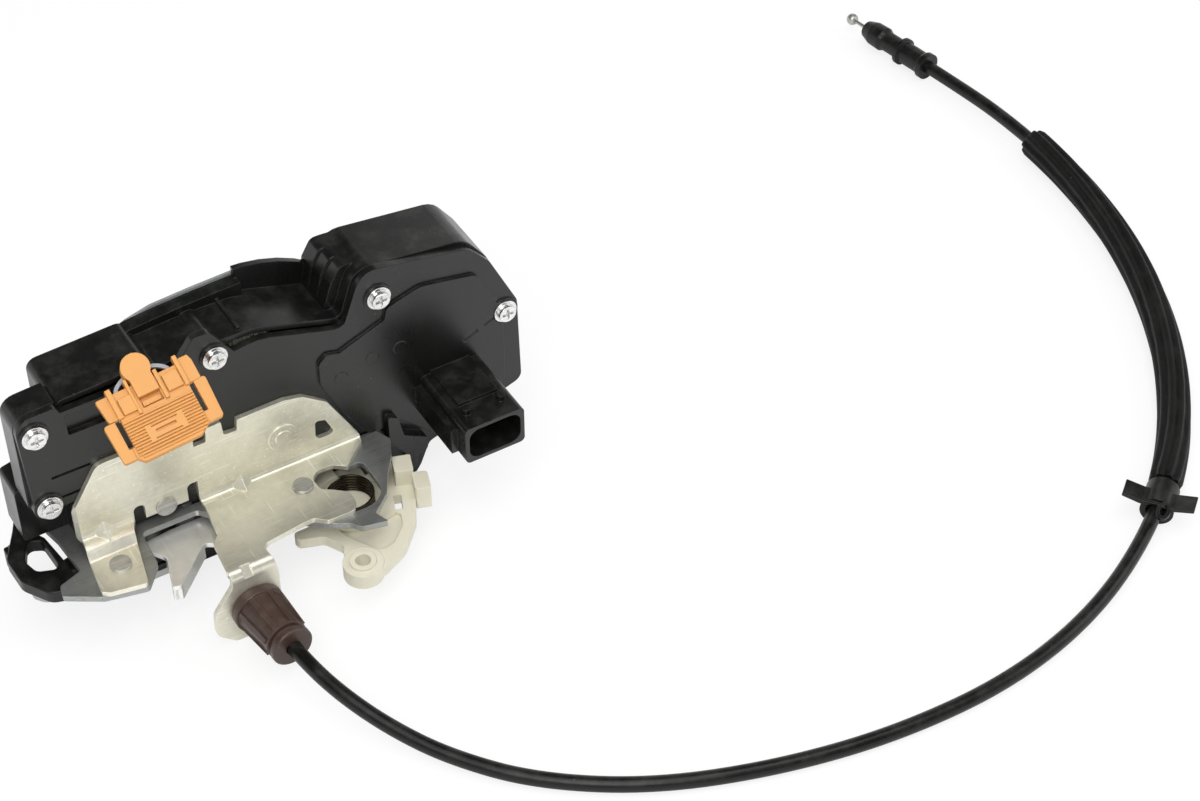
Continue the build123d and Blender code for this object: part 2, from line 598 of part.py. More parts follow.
def release_lever():
    """Folded sheet lever: a flange with two turned-down walls, on an arm to its pin."""
    low = RELEASE_Z
    plan = outline((RELEASE_X + 5, RELEASE_Y + 4, 4), (RELEASE_X + 5, RELEASE_Y - 5, 4),
                   (RELEASE_X - 8, RELEASE_Y - 7, 2), (-34, -17, 3), (-39.4, -15, 2), (-53.2, -27.9, 2),
                   (-57, -27, 2), (-54, -13, 4), (-60.5, -2.5, 2), (-35, -1.5, 4), (-30, -6, 4),
                   (RELEASE_X - 6, RELEASE_Y + 7, 4))
    body = flat(plan, low, low + RELEASE_T)
    front_wall = outline((-53.2, -27.9, 0), (-38.4, -14.1, 0), (-39.8, -12.7, 0), (-54.6, -26.5, 0))
    left_wall = outline((-57, -27, 0), (-54, -13, 0), (-52, -13, 0), (-55, -26.6, 0))
    body += flat((front_wall + left_wall) & plan, low - RELEASE_WALL, low)
    return body - peg(RELEASE_X, RELEASE_Y, 0, 40, RELEASE_PIN_R + RUN_GAP)


def release_pin():
    pin = peg(RELEASE_X, RELEASE_Y, RELEASE_Z - 1.4, SHELF_TOP, RELEASE_PIN_R)
    pin += peg(RELEASE_X, RELEASE_Y, RELEASE_Z - 3, RELEASE_Z - FACE_GAP, RELEASE_PIN_R + 2)
    pin += peg(RELEASE_X, RELEASE_Y, SHELF_TOP, SHELF_TOP + 1.2, RIVET_HEAD_R)
    return pin


# ---------------------------------------------------------------- retainer
def retainer_plane():
    """The retainer leans forward: its own Y runs up its slope."""
    lean = radians(RETAINER_LEAN)
    return Plane(origin=(RETAINER_X, RETAINER_Y, RETAINER_Z), x_dir=(1, 0, 0),
                 z_dir=(0, -cos(lean), sin(lean)))


def orange_retainer():
    """Slip-on retainer that leans out of the cover: ribbed body, side tabs, pads and knob."""
    body = extrude(RectangleRounded(28, 26, 1.5), amount=3.6)
    for sx in (-1, 1):
        body += Pos(sx * 16.6, -4.5, 0) * extrude(RectangleRounded(4.6, 20, 1.2), amount=2.8)
        body += Pos(sx * 14.2, -12, 0) * extrude(Rectangle(4, 3), amount=2.8)
        body += Pos(sx * 14.2, 4, 0) * extrude(Rectangle(4, 2.4), amount=2.8)
        body += Pos(sx * 9.4, 9.6, 3.6) * extrude(RectangleRounded(7, 8.6, 0.8), amount=1.6)
        body += Pos(sx * 15.6, 9.4, 0) * extrude(RectangleRounded(5.4, 8, 0.8), amount=4.2)
    body -= Pos(0, 6.6, 1.6) * extrude(Rectangle(8.6, 4.6), amount=3)
    body += Pos(0, 5.2, 1.6) * extrude(Rectangle(8.6, 1), amount=1.6)
    for i in range(9):
        body += Pos(0, 2.2 - i * 1.65, 3.6) * extrude(Rectangle(25, 0.9), amount=0.5)
    body += Pos(KNOB_X, KNOB_UP, -1) * extrude(Circle(KNOB_R), amount=6.4)
    body += Pos(KNOB_X, KNOB_UP - 3.4, 0) * extrude(Rectangle(5, 4), amount=3.6)
    body += Pos(0, 3, RETAINER_STEM) * extrude(Rectangle(18, 8), amount=-RETAINER_STEM)
    return retainer_plane() * body


def knob_tether():
    """Grey loop that ties the knob to the retainer."""
    loop = Circle(KNOB_R + 3.2) - Circle(KNOB_R + 1.6)
    loop &= Pos(0, 4) * Rectangle(20, 12)
    bridge = Rectangle(2 * KNOB_R + 4, 1.4)
    return retainer_plane() * (Pos(KNOB_X, KNOB_UP, -1 - 1.6) * extrude(loop + bridge, amount=1.6))


# ---------------------------------------------------------------- lock drive
def lock_motor():
    can = Circle(MOTOR_R) & Rectangle(2 * MOTOR_R, 2 * MOTOR_FLAT)
    body = side(Pos(DRIVE_Y, WORM_Z) * can, MOTOR_X, MOTOR_X + MOTOR_L)
    body += bar_x(DRIVE_Y, WORM_Z, MOTOR_X - 2, MOTOR_X + MOTOR_L + 2, 3.4)
    return body - bar_x(DRIVE_Y, WORM_Z, MOTOR_X - 3, MOTOR_X + 12, SHAFT_R + RUN_GAP)


def motor_worm():
    """Worm on the motor's shaft."""
    start = DRUM_X - WORM_L / 2
    shaft = bar_x(DRIVE_Y, WORM_Z, start + WORM_L - 1, MOTOR_X + 11, SHAFT_R)
    worm = bar_x(DRIVE_Y, WORM_Z, start, start + WORM_L, WORM_R - 1.2)
    turns = 7
    step = WORM_L / turns
    for i in range(turns):
        x = start + step * (i + 0.25)
        worm += bar_x(DRIVE_Y, WORM_Z, x, x + step * 0.45, WORM_R)
    return shaft + worm


def worm_wheel():
    z = WORM_Z - WORM_R - WHEEL_R - 0.4
    disc = Circle(WHEEL_R - 1.6)
    tooth = Polygon((-0.9, 0), (0.9, 0), (0.45, 1.9), (-0.45, 1.9), align=None)
    for i in range(WHEEL_TEETH):
        disc += Rot(0, 0, i * 360 / WHEEL_TEETH) * Pos(0, WHEEL_R - 1.9) * tooth
    body = upright(Pos(DRUM_X, z) * disc, DRIVE_Y - WHEEL_T / 2, DRIVE_Y + WHEEL_T / 2)
    body += bar_y(DRUM_X, z, DRIVE_Y - 6, DRIVE_Y + 6, 6)
    body += upright(Pos(DRUM_X, z) * (Rot(0, 0, 200) * Pos(11, 0) * Circle(2.4)), DRIVE_Y - 6, DRIVE_Y)
    return body - bar_y(DRUM_X, z, 0, 40, AXLE_R + RUN_GAP)


def wheel_axle():
    z = WORM_Z - WORM_R - WHEEL_R - 0.4
    return bar_y(DRUM_X, z, COVER_FRONT + COVER_T, HOUSING_BACK - WALL, AXLE_R)


def lock_lever():
    """Slotted lever that the wheel's peg throws, with its lug for the release lever."""
    x, z = LOCK_LEVER_X, LOCK_LEVER_Z
    plan = Pos(x, z) * Circle(6)
    plan += outline((x - 4, z - 4, 0), (x - 4, z + 5, 0), (x + 15, z + 7, 2), (x + 26, z + 3, 3),
                    (x + 26, z - 3, 3), (x + 15, z - 4, 2))
    plan -= Pos(x + 21, z) * SlotOverall(9, 5.4)
    plan += outline((x - 4, z, 0), (x + 5, z, 0), (x + 3, z - 16, 2), (x - 2, z - 16, 2))
    front = COVER_FRONT + COVER_T + 1
    body = upright(plan, front, front + 3)
    return body - bar_y(x, z, 0, 40, AXLE_R + RUN_GAP)


def lever_axle():
    return bar_y(LOCK_LEVER_X, LOCK_LEVER_Z, COVER_FRONT + COVER_T, HOUSING_BACK - WALL, AXLE_R)


def lead_frame():
    """Moulded carrier with the conductors between socket, motor and switch."""
    plate = outline((57, 30, 2), (57, 56, 2), (44, 63, 2), (44, 69, 2), (80, 69, 2), (84, 62, 3), (84, 30, 2))
    return upright(plate, COVER_FRONT + COVER_T, COVER_FRONT + COVER_T + 2.4)


def position_switch():
    body = block(18, 32, 8, 14, 40, 49)
    return body + block(24, 28, 9.5, 12.5, 49, 50.6)


# ---------------------------------------------------------------- release cable
def route_radii():
    radii = []
    for i in range(1, len(ROUTE) - 1):
        before = Vector(*ROUTE[i]) - Vector(*ROUTE[i - 1])
        after = Vector(*ROUTE[i + 1]) - Vector(*ROUTE[i])
        half = radians(before.get_angle(after)) / 2
        radii.append(0.45 * min(before.length, after.length) / tan(half))
    return radii


def middle(i):
    """Middle of run i of the route."""
    return tuple((Vector(*ROUTE[i]) + Vector(*ROUTE[i + 1])) * 0.5)


def tube(points, radii, radius, hole=0.0):
    path = FilletPolyline(*points, radius=radii)
    face = Circle(radius)
    if hole:
        face -= Circle(hole)
    body = sweep(Plane(origin=path @ 0, z_dir=path % 0) * face, path=path)
    area = pi * (radius ** 2 - hole ** 2)
    print(f"tube volume {body.volume:.1f} against section x length {area * path.length:.1f}, "
          f"length {path.length:.1f}")
    return body


def cable_conduit():
    radii = route_radii()
    print("cable radii", [round(r) for r in radii])
    return tube(ROUTE, radii, CONDUIT_R)


def cable_sleeve():
    first, last = SLEEVE_RUNS
    points = [middle(first)] + ROUTE[first + 1:last + 1] + [middle(last)]
    return tube(points, route_radii()[first:last], SLEEVE_R, CONDUIT_R + FACE_GAP)


def along(origin, way):
    """Plane across the cable: its normal is the way given."""
    return Plane(origin=origin, x_dir=Vector(way.Y, -way.X, 0).normalized(), z_dir=way)


def cable_clip():
    """Clip on the cable: a collar, a foot plate under it with two wings, and a small loop."""
    way = (Vector(*ROUTE[CLIP_RUN + 1]) - Vector(*ROUTE[CLIP_RUN])).normalized()
    plane = along(middle(CLIP_RUN), way)
    ring = Circle(CLIP_R) - Circle(CONDUIT_R + CLIP_SLACK)
    collar = Pos(0, 0, -CLIP_L - FACE_GAP) * extrude(ring, amount=CLIP_L)
    collar += Pos(0, 0, -CLIP_L - FACE_GAP + 3) * extrude(Circle(CLIP_R) - Circle(CONDUIT_R + FACE_GAP), amount=2)
    foot = outline((-13.2, -CLIP_R, 0.4), (-13.2, 1.4 - CLIP_R, 0.4), (-6, 3.2 - CLIP_R, 2), (-4.2, 2.4 - CLIP_R, 0),
                   (4.2, 2.4 - CLIP_R, 0), (6, 3.2 - CLIP_R, 2), (13.2, 1.4 - CLIP_R, 0.4), (13.2, -CLIP_R, 0.4),
                   (6, 1.4 - CLIP_R, 2), (-6, 1.4 - CLIP_R, 2))
    wings = Pos(0, 0, -CLIP_L - 1.5) * extrude(foot - Circle(CONDUIT_R + CLIP_SLACK), amount=7.5)
    hoop = Pos(2.6, 1.6 - CLIP_R, -CLIP_L - 4.6) * Rot(90, 0, 0) * extrude(Ellipse(2.6, 4.4) - Ellipse(1.2, 3), amount=1.2)
    return plane * (collar + wings + hoop)


def end_way():
    return (Vector(*ROUTE[-1]) - Vector(*ROUTE[-2])).normalized()


def cable_end_fitting():
    """Snap-in end fitting with a groove, a flange and a latch barb."""
    bore = CORE_R + RUN_GAP
    nose = END_L - END_SEAT
    profile = outline((CONDUIT_R, -END_SEAT), (5.9, -END_SEAT), (5.9, -END_SEAT + 2.5), (4.9, -END_SEAT + 4),
                      (4.9, 9), (6.1, 9.4), (6.1, 11.2), (4.4, 11.6), (4.4, nose - 13), (5.4, nose - 11),
                      (5.2, nose - 5, 1), (3.6, nose, 1), (bore, nose), (bore, 0), (CONDUIT_R, 0))
    body = revolve(Plane.XZ * profile, axis=Axis.Z)
    body -= Pos(0, 5.4, nose - 9) * Box(12, 2, 3.4)
    return along(ROUTE[-1], end_way()) * body


def cable_core_far_end():
    """Inner wire out of the far fitting, and its ball."""
    way = end_way()
    start = Vector(*ROUTE[-1]) + way * 2
    tip = start + way * CORE_OUT
    core = along(start, way) * extrude(Circle(CORE_R), amount=CORE_OUT)
    ball = Pos(tip.X, tip.Y, tip.Z) * Sphere(BALL_R)
    return core, ball - core


def cable_core_latch_end():
    """Inner wire between the grommet and the release lever, with its nipple."""
    wire = bar_y(FITTING_X, FITTING_Z, -ARM_REACH + 1.5, NIPPLE_Y, CORE_R)
    nipple = peg(FITTING_X, NIPPLE_Y + 1.5, FITTING_Z - 2.5, FITTING_Z + 2.5, 2.4)
    return wire + nipple


def cable_fitting():
    """Ribbed grommet that snaps into the ear of the bracket."""
    front = -ARM_REACH
    collar = outline((CORE_R + RUN_GAP, -5), (FITTING_NECK - 0.6, -5, 1), (FITTING_NECK, -1), (FITTING_NECK, BRACKET_T),
                     (FITTING_R, BRACKET_T, 0.6), (FITTING_R, BRACKET_T + 4, 0.6), (CONDUIT_R, BRACKET_T + 4.5),
                     (CONDUIT_R, BRACKET_T + 3), (CORE_R + RUN_GAP, BRACKET_T + 3))
    boot = outline((CONDUIT_R, 1), (FITTING_R - 0.6, 1), (FITTING_R - 1.9, FITTING_L - 8, 1),
                   (FITTING_END_R, FITTING_L - 6.5, 1), (FITTING_END_R, FITTING_L - 4.5),
                   (FITTING_END_R - 1.4, FITTING_L - 4), (FITTING_END_R - 1.4, FITTING_L - 3),
                   (FITTING_END_R, FITTING_L - 2.4), (FITTING_END_R, FITTING_L, 0.8), (CONDUIT_R, FITTING_L))
    straight = Plane(origin=(FITTING_X, front + BRACKET_T, FITTING_Z), x_dir=(1, 0, 0), z_dir=(0, -1, 0))
    yaw = radians(FITTING_YAW)
    leaning = Plane(origin=(FITTING_X, front, FITTING_Z), x_dir=(cos(yaw), sin(yaw), 0),
                    z_dir=(sin(yaw), -cos(yaw), 0))
    ribbed = revolve(Plane.XZ * boot, axis=Axis.Z)
    for i in range(FITTING_RIBS):
        rib = Pos(FITTING_R - 1.8, 0, FITTING_L / 2 - 1) * Rot(0, -3.5, 0) * Box(2.2, 2, FITTING_L - 9)
        ribbed += Rot(0, 0, (i + 0.5) * 360 / FITTING_RIBS) * rib
    return straight * revolve(Plane.XZ * collar, axis=Axis.Z) + leaning * ribbed


# ---------------------------------------------------------------- build
save("main_housing", place(main_housing()))
save("front_cover", place(front_cover()))
save("terminal_pins", *[place(p) for p in terminal_pins()])
save("cover_screws", *[place(s) for s in cover_screws()])
save("frame_bracket", place(frame_bracket()))
save("frame_plate", place(frame_plate()))
save("striker_plate", place(striker_plate()))
save("latch_case", place(latch_case()))
save("fishmouth_surround", place(fishmouth_surround()))
save("striker_bumper", place(striker_bumper()))
save("fork_bolt", place(fork_bolt()))
save("fork_bolt_coat", place(fork_bolt_coat()))
save("fork_pin", place(fork_pin()))
save("pawl", place(pawl()))
save("pawl_pin", place(pawl_pin()))
save("plate_rivets", *[place(r) for r in plate_rivets()])
save("handle_lever", place(handle_lever()))
save("lever_stud", place(lever_stud()))
save("lever_spring", place(wound_spring(LEVER_X, LEVER_Y, LEVER_Z + LEVER_T + FACE_GAP + COIL_WIRE / 2, COIL_R, COIL_WIRE, COIL_TURNS)))
save("release_lever", place(release_lever()))
save("release_pin", place(release_pin()))
save("orange_retainer", place(orange_retainer()))
save("knob_tether", place(knob_tether()))
save("lock_motor", place(lock_motor()))
save("motor_worm", place(motor_worm()))
save("worm_wheel", place(worm_wheel()))
save("wheel_axle", place(wheel_axle()))
save("lock_lever", place(lock_lever()))
save("lever_axle", place(lever_axle()))
save("lead_frame", place(lead_frame()))
save("position_switch", place(position_switch()))
save("cable_conduit", cable_conduit())
save("cable_sleeve", cable_sleeve())
save("cable_clip", cable_clip())
save("cable_end_fitting", cable_end_fitting())
core, ball = cable_core_far_end()
save("cable_core", core)
save("ball_end", ball)
save("cable_core_latch_end", place(cable_core_latch_end()))
save("cable_fitting", place(cable_fitting()))
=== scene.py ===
"""Looks of the door latch actuator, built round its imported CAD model.  Metres, Z up."""
import json
from math import atan2, cos, pi, radians, sin, tan

import bmesh
import bpy
from mathutils import Matrix, Vector

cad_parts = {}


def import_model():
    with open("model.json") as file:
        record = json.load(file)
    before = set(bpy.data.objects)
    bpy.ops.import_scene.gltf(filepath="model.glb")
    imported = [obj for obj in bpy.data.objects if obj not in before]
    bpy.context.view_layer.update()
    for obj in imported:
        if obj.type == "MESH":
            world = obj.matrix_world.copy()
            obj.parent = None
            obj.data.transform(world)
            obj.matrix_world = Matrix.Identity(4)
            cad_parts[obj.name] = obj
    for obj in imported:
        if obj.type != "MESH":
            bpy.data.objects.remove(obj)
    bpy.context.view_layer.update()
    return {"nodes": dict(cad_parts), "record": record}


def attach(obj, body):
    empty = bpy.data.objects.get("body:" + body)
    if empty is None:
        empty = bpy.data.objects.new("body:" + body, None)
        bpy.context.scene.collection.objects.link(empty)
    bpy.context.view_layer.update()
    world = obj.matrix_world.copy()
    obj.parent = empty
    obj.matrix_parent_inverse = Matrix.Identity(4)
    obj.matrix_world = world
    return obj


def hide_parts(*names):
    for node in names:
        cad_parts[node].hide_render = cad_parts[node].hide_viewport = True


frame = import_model()
nodes = frame["nodes"]
slots = {entry["node"]: entry["material_slot"] for entry in frame["record"]["subparts"]}
MM = 0.001    # metres in a millimetre


# ---------------------------------------------------------------- meshes and objects
def scene_object(name, data):
    """New object of the mesh, curve, lamp or camera, in the scene."""
    obj = bpy.data.objects.new(name, data)
    bpy.context.scene.collection.objects.link(obj)
    return obj


def mesh_of(bm, name="form"):
    """Mesh of the bmesh, which is freed."""
    mesh = bpy.data.meshes.new(name)
    bm.to_mesh(mesh)
    bm.free()
    return mesh


def applied(obj):
    """Mesh of the object with its modifiers or its bevel; the object is removed."""
    bpy.context.view_layer.update()
    view = bpy.context.evaluated_depsgraph_get()
    mesh = bpy.data.meshes.new_from_object(obj.evaluated_get(view))
    bpy.data.objects.remove(obj)
    return mesh


# ---------------------------------------------------------------- shared shader effects
class Tree:
    """Short calls for laying out nodes in one node tree."""

    def __init__(self, tree):
        self.tree = tree

    def add(self, kind, **settings):
        node = self.tree.nodes.new(kind)
        for name, value in settings.items():
            if hasattr(node, name):
                setattr(node, name, value)
            else:
                node.inputs[name.replace("_", " ")].default_value = value
        return node

    def link(self, source, target):
        self.tree.links.new(source, target)

    def math(self, operation, a, b):
        node = self.add("ShaderNodeMath", operation=operation)
        for socket, value in zip(node.inputs, (a, b)):
            if isinstance(value, (int, float)):
                socket.default_value = value
            else:
                self.link(value, socket)
        return node.outputs[0]

    def span(self, value, low, high, to_low=0.0, to_high=1.0):
        node = self.add("ShaderNodeMapRange", interpolation_type="SMOOTHSTEP")
        self.link(value, node.inputs["Value"])
        ends = {"From Min": low, "From Max": high, "To Min": to_low, "To Max": to_high}
        for name, number in ends.items():
            node.inputs[name].default_value = number
        return node.outputs[0]

    def mix(self, factor, a, b):
        node = self.add("ShaderNodeMix", data_type="RGBA")
        for socket, value in ((node.inputs[0], factor), (node.inputs[6], a), (node.inputs[7], b)):
            if hasattr(value, "links"):
                self.link(value, socket)
            else:
                socket.default_value = value
        return node.outputs[2]

    def noise(self, vector, scale, detail, rough=0.55):
        """Noise of so many waves to the metre; the scale is a number or a socket."""
        node = self.add("ShaderNodeTexNoise", Detail=detail, Roughness=rough)
        self.link(vector, node.inputs["Vector"])
        if isinstance(scale, (int, float)):
            node.inputs["Scale"].default_value = scale
        else:
            self.link(scale, node.inputs["Scale"])
        return node.outputs["Fac"]

    def show_mix(self, factor, first, second, output):
        """Leads a mix of two shaders to the surface of the output node."""
        mix = self.add("ShaderNodeMixShader")
        for socket, source in zip(mix.inputs, (factor, first, second)):
            self.link(source, socket)
        self.link(mix.outputs[0], output.inputs["Surface"])


def new_group(name, inputs, outputs):
    """Empty shader group with named sockets; gives its tree and its two end nodes."""
    group = bpy.data.node_groups.new(name, "ShaderNodeTree")
    for title, kind, value in inputs:
        socket = group.interface.new_socket(title, in_out="INPUT", socket_type=kind)
        socket.default_value = value
    for title, kind in outputs:
        group.interface.new_socket(title, in_out="OUTPUT", socket_type=kind)
    t = Tree(group)
    return group, t, t.add("NodeGroupInput"), t.add("NodeGroupOutput")


FLOAT, VECTOR = "NodeSocketFloat", "NodeSocketVector"

# waves or cells to the metre
RUB_PATCHES = 260.0
PLATE_CLOUDS, PLATE_MOTTLE, PLATE_SPECKS = 38.0, 420.0, 1700.0
DUST_PATCHES, DUST_CELLS = 120.0, 210.0
FLOW_STRETCH = (90.0, 90.0, 14.0)
ROLL_STRETCH = (40.0, 1500.0, 1500.0)

BENT_FROM, BENT_TO = 0.995, 0.86    # cosine between the rounded normal and the flat one
EMPTY_CELLS = 0.82                  # share of the dust cells with no grain


def edge_wear_group():
    """Mask of the corners that handling rubs first, and a normal that rounds them."""
    group, t, given, out = new_group(
        "edge_wear", [("Width", FLOAT, 0.0004), ("Amount", FLOAT, 0.5)],
        [("Mask", FLOAT), ("Normal", VECTOR)])
    bevel = t.add("ShaderNodeBevel", samples=6)
    t.link(given.outputs["Width"], bevel.inputs["Radius"])
    geometry = t.add("ShaderNodeNewGeometry")
    dot = t.add("ShaderNodeVectorMath", operation="DOT_PRODUCT")
    t.link(bevel.outputs[0], dot.inputs[0])
    t.link(geometry.outputs["Normal"], dot.inputs[1])
    bent = t.span(dot.outputs["Value"], BENT_FROM, BENT_TO)
    patch = t.noise(t.add("ShaderNodeTexCoord").outputs["Object"], RUB_PATCHES, 4.0)
    rubbed = t.math("MULTIPLY", bent, t.span(patch, 0.35, 0.65))
    t.link(t.math("MULTIPLY", rubbed, given.outputs["Amount"]), out.inputs["Mask"])
    t.link(bevel.outputs[0], out.inputs["Normal"])
    return group


def moulded_grain_group():
    """Fine skin of a moulding, the broad unevenness under it and faint flow lines."""
    group, t, given, out = new_group(
        "moulded_grain", [("Grain", FLOAT, 900.0), ("Waves", FLOAT, 60.0)],
        [("Height", FLOAT), ("Tone", FLOAT)])
    place = t.add("ShaderNodeTexCoord").outputs["Object"]
    fine = t.noise(place, given.outputs["Grain"], 2.0, 0.6)
    broad = t.noise(place, given.outputs["Waves"], 2.0, 0.45)
    stretch = t.add("ShaderNodeMapping")
    stretch.inputs["Scale"].default_value = FLOW_STRETCH
    t.link(place, stretch.inputs["Vector"])
    flow = t.noise(stretch.outputs[0], 1.0, 2.0)
    high = t.math("ADD", t.math("MULTIPLY", fine, 0.6), t.math("MULTIPLY", broad, 0.4))
    t.link(high, out.inputs["Height"])
    tone = t.math("ADD", t.math("MULTIPLY", broad, 0.5), t.math("MULTIPLY", flow, 0.5))
    t.link(tone, out.inputs["Tone"])
    return group


def scratch_lines(t, place, turn, stretch, low, high):
    """Sparse fine lines that run one way: a stretched noise cut off near its crest."""
    turned = t.add("ShaderNodeMapping")
    turned.inputs["Rotation"].default_value = turn
    turned.inputs["Scale"].default_value = stretch
    t.link(place, turned.inputs["Vector"])
    return t.span(t.noise(turned.outputs[0], 1.0, 1.0), low, high)


def rolled_sheet_group():
    """Zinc plated sheet: faint rolling lines, cloudy plating, stains and small scratches."""
    group, t, given, out = new_group(
        "rolled_sheet",
        [("Lines", FLOAT, 0.2), ("Clouds", FLOAT, 0.5), ("Scratches", FLOAT, 0.5)],
        [("Height", FLOAT), ("Tone", FLOAT), ("Gloss", FLOAT), ("Scratch", FLOAT)])
    place = t.add("ShaderNodeTexCoord").outputs["Object"]
    lines = scratch_lines(t, place, (0.0, 0.0, 0.0), ROLL_STRETCH, 0.2, 0.8)
    clouds = t.noise(place, PLATE_CLOUDS, 4.0, 0.55)
    mottle = t.noise(place, PLATE_MOTTLE, 3.0, 0.6)
    specks = t.noise(place, PLATE_SPECKS, 2.0)
    first = scratch_lines(t, place, (0.3, 0.2, 0.9), (900.0, 60.0, 900.0), 0.66, 0.72)
    second = scratch_lines(t, place, (0.1, 0.4, -0.6), (60.0, 1100.0, 1100.0), 0.67, 0.73)
    cut = t.math("MULTIPLY", t.math("MAXIMUM", first, second), given.outputs["Scratches"])
    tone = t.math("ADD", t.math("MULTIPLY", lines, given.outputs["Lines"]),
                  t.math("MULTIPLY", clouds, given.outputs["Clouds"]))
    tone = t.math("ADD", tone, t.math("MULTIPLY", mottle, 0.3))
    t.link(tone, out.inputs["Tone"])
    high = t.math("SUBTRACT", t.math("MULTIPLY", specks, 0.5), t.math("MULTIPLY", cut, 0.8))
    t.link(t.math("ADD", high, t.math("MULTIPLY", mottle, 0.5)), out.inputs["Height"])
    gloss = t.math("ADD", t.math("MULTIPLY", clouds, 0.6), t.math("MULTIPLY", mottle, 0.4))
    t.link(gloss, out.inputs["Gloss"])
    t.link(cut, out.inputs["Scratch"])
    return group


def dust_group():
    """Light dust that settles on what faces up, with a few single grains anywhere."""
    group, t, given, out = new_group(
        "dust", [("Amount", FLOAT, 0.2), ("Grains", FLOAT, 0.5)], [("Mask", FLOAT)])
    geometry = t.add("ShaderNodeNewGeometry")
    split = t.add("ShaderNodeSeparateXYZ")
    t.link(geometry.outputs["Normal"], split.inputs[0])
    up = t.span(split.outputs["Z"], 0.2, 1.0)
    place = t.add("ShaderNodeTexCoord").outputs["Object"]
    patch = t.span(t.noise(place, DUST_PATCHES, 6.0, 0.7), 0.4, 0.75)
    film = t.math("MULTIPLY", t.math("MULTIPLY", up, patch), given.outputs["Amount"])
    cells = t.add("ShaderNodeTexVoronoi", Scale=DUST_CELLS)
    t.link(place, cells.inputs["Vector"])
    dot = t.span(cells.outputs["Distance"], 0.05, 0.025)
    tint = t.add("ShaderNodeSeparateColor")
    t.link(cells.outputs["Color"], tint.inputs[0])
    chosen = t.math("GREATER_THAN", tint.outputs[0], EMPTY_CELLS)
    grains = t.math("MULTIPLY", t.math("MULTIPLY", dot, chosen), given.outputs["Grains"])
    t.link(t.math("MAXIMUM", film, grains), out.inputs["Mask"])
    return group


GROUPS = {"edge_wear": edge_wear_group(), "moulded_grain": moulded_grain_group(),
          "rolled_sheet": rolled_sheet_group(), "dust": dust_group()}


def placed(t, name, **values):
    """Shared effect in a material's tree, with the material's own values."""
    node = t.add("ShaderNodeGroup")
    node.node_tree = GROUPS[name]
    for title, value in values.items():
        node.inputs[title].default_value = value
    return node


def new_material(name, **sockets):
    """Principled material; plain numbers go straight on the shader's sockets."""
    material = bpy.data.materials.new(name)
    material.use_nodes = True
    t = Tree(material.node_tree)
    shader = material.node_tree.nodes["Principled BSDF"]
    for title, value in sockets.items():
        shader.inputs[title.replace("_", " ")].default_value = value
    return material, t, shader


def bumped(t, shader, height, rounded, strength, distance):
    """Relief of the skin on top of the rounded corners."""
    bump = t.add("ShaderNodeBump", Strength=strength, Distance=distance)
    t.link(height, bump.inputs["Height"])
    t.link(rounded, bump.inputs["Normal"])
    t.link(bump.outputs[0], shader.inputs["Normal"])


def rgb(r, g, b):
    return (r, g, b, 1.0)


# ---------------------------------------------------------------- finishes
SKIN_WAVES, SKIN_BUMP, SKIN_DEPTH, SKIN_RUB = 55.0, 0.1, 0.0001, 0.0004
SHEET_BUMP, SHEET_DEPTH, SHEET_RUB = 0.12, 0.00008, 0.0003
DUST_TONE, DUST_GRAINS = (0.42, 0.4, 0.37), 0.4
SCRATCH_LIFT, RUB_LIFT = 1.2, 1.15    # how much brighter bare metal is


def lifted(colour, times):
    """Brighter colour, held below white."""
    return rgb(*[min(1.0, c * times) for c in colour])


def moulding(name, colour, worn, rough, grain=900.0, wear=0.3, dust=0.05, drift=0.85, **sockets):
    """Injection moulded plastic: skin grain, tone drift, rubbed corners and a little dust."""
    material, t, shader = new_material(name, **sockets)
    skin = placed(t, "moulded_grain", Grain=grain, Waves=SKIN_WAVES)
    rubbed = placed(t, "edge_wear", Width=SKIN_RUB, Amount=wear)
    settled = placed(t, "dust", Amount=dust, Grains=DUST_GRAINS)
    drifted = rgb(*[c * drift for c in colour])
    tone = t.mix(t.span(skin.outputs["Tone"], 0.35, 0.65), drifted, rgb(*colour))
    base = t.mix(rubbed.outputs["Mask"], tone, rgb(*worn))
    base = t.mix(settled.outputs["Mask"], base, rgb(*DUST_TONE))
    t.link(base, shader.inputs["Base Color"])
    gloss = t.span(skin.outputs["Tone"], 0.3, 0.7, rough - 0.05, rough + 0.05)
    t.link(gloss, shader.inputs["Roughness"])
    bumped(t, shader, skin.outputs["Height"], rubbed.outputs["Normal"], SKIN_BUMP, SKIN_DEPTH)
    return material


def sheet_metal(name, dark, light, rough, lines=0.2, clouds=0.5, wear=0.4, metallic=0.85,
                scratches=0.5):
    """Plated or bare sheet with rolling lines, cloudy plating, scratches and bright edges."""
    material, t, shader = new_material(name, Metallic=metallic)
    plate = placed(t, "rolled_sheet", Lines=lines, Clouds=clouds, Scratches=scratches)
    rubbed = placed(t, "edge_wear", Width=SHEET_RUB, Amount=wear)
    tone = t.span(plate.outputs["Tone"], 0.32, 0.68)
    base = t.mix(tone, rgb(*dark), rgb(*light))
    base = t.mix(plate.outputs["Scratch"], base, lifted(light, SCRATCH_LIFT))
    base = t.mix(rubbed.outputs["Mask"], base, lifted(light, RUB_LIFT))
    t.link(base, shader.inputs["Base Color"])
    gloss = t.span(plate.outputs["Gloss"], 0.3, 0.7, rough - 0.06, rough + 0.08)
    t.link(gloss, shader.inputs["Roughness"])
    bumped(t, shader, plate.outputs["Height"], rubbed.outputs["Normal"], SHEET_BUMP, SHEET_DEPTH)
    return material


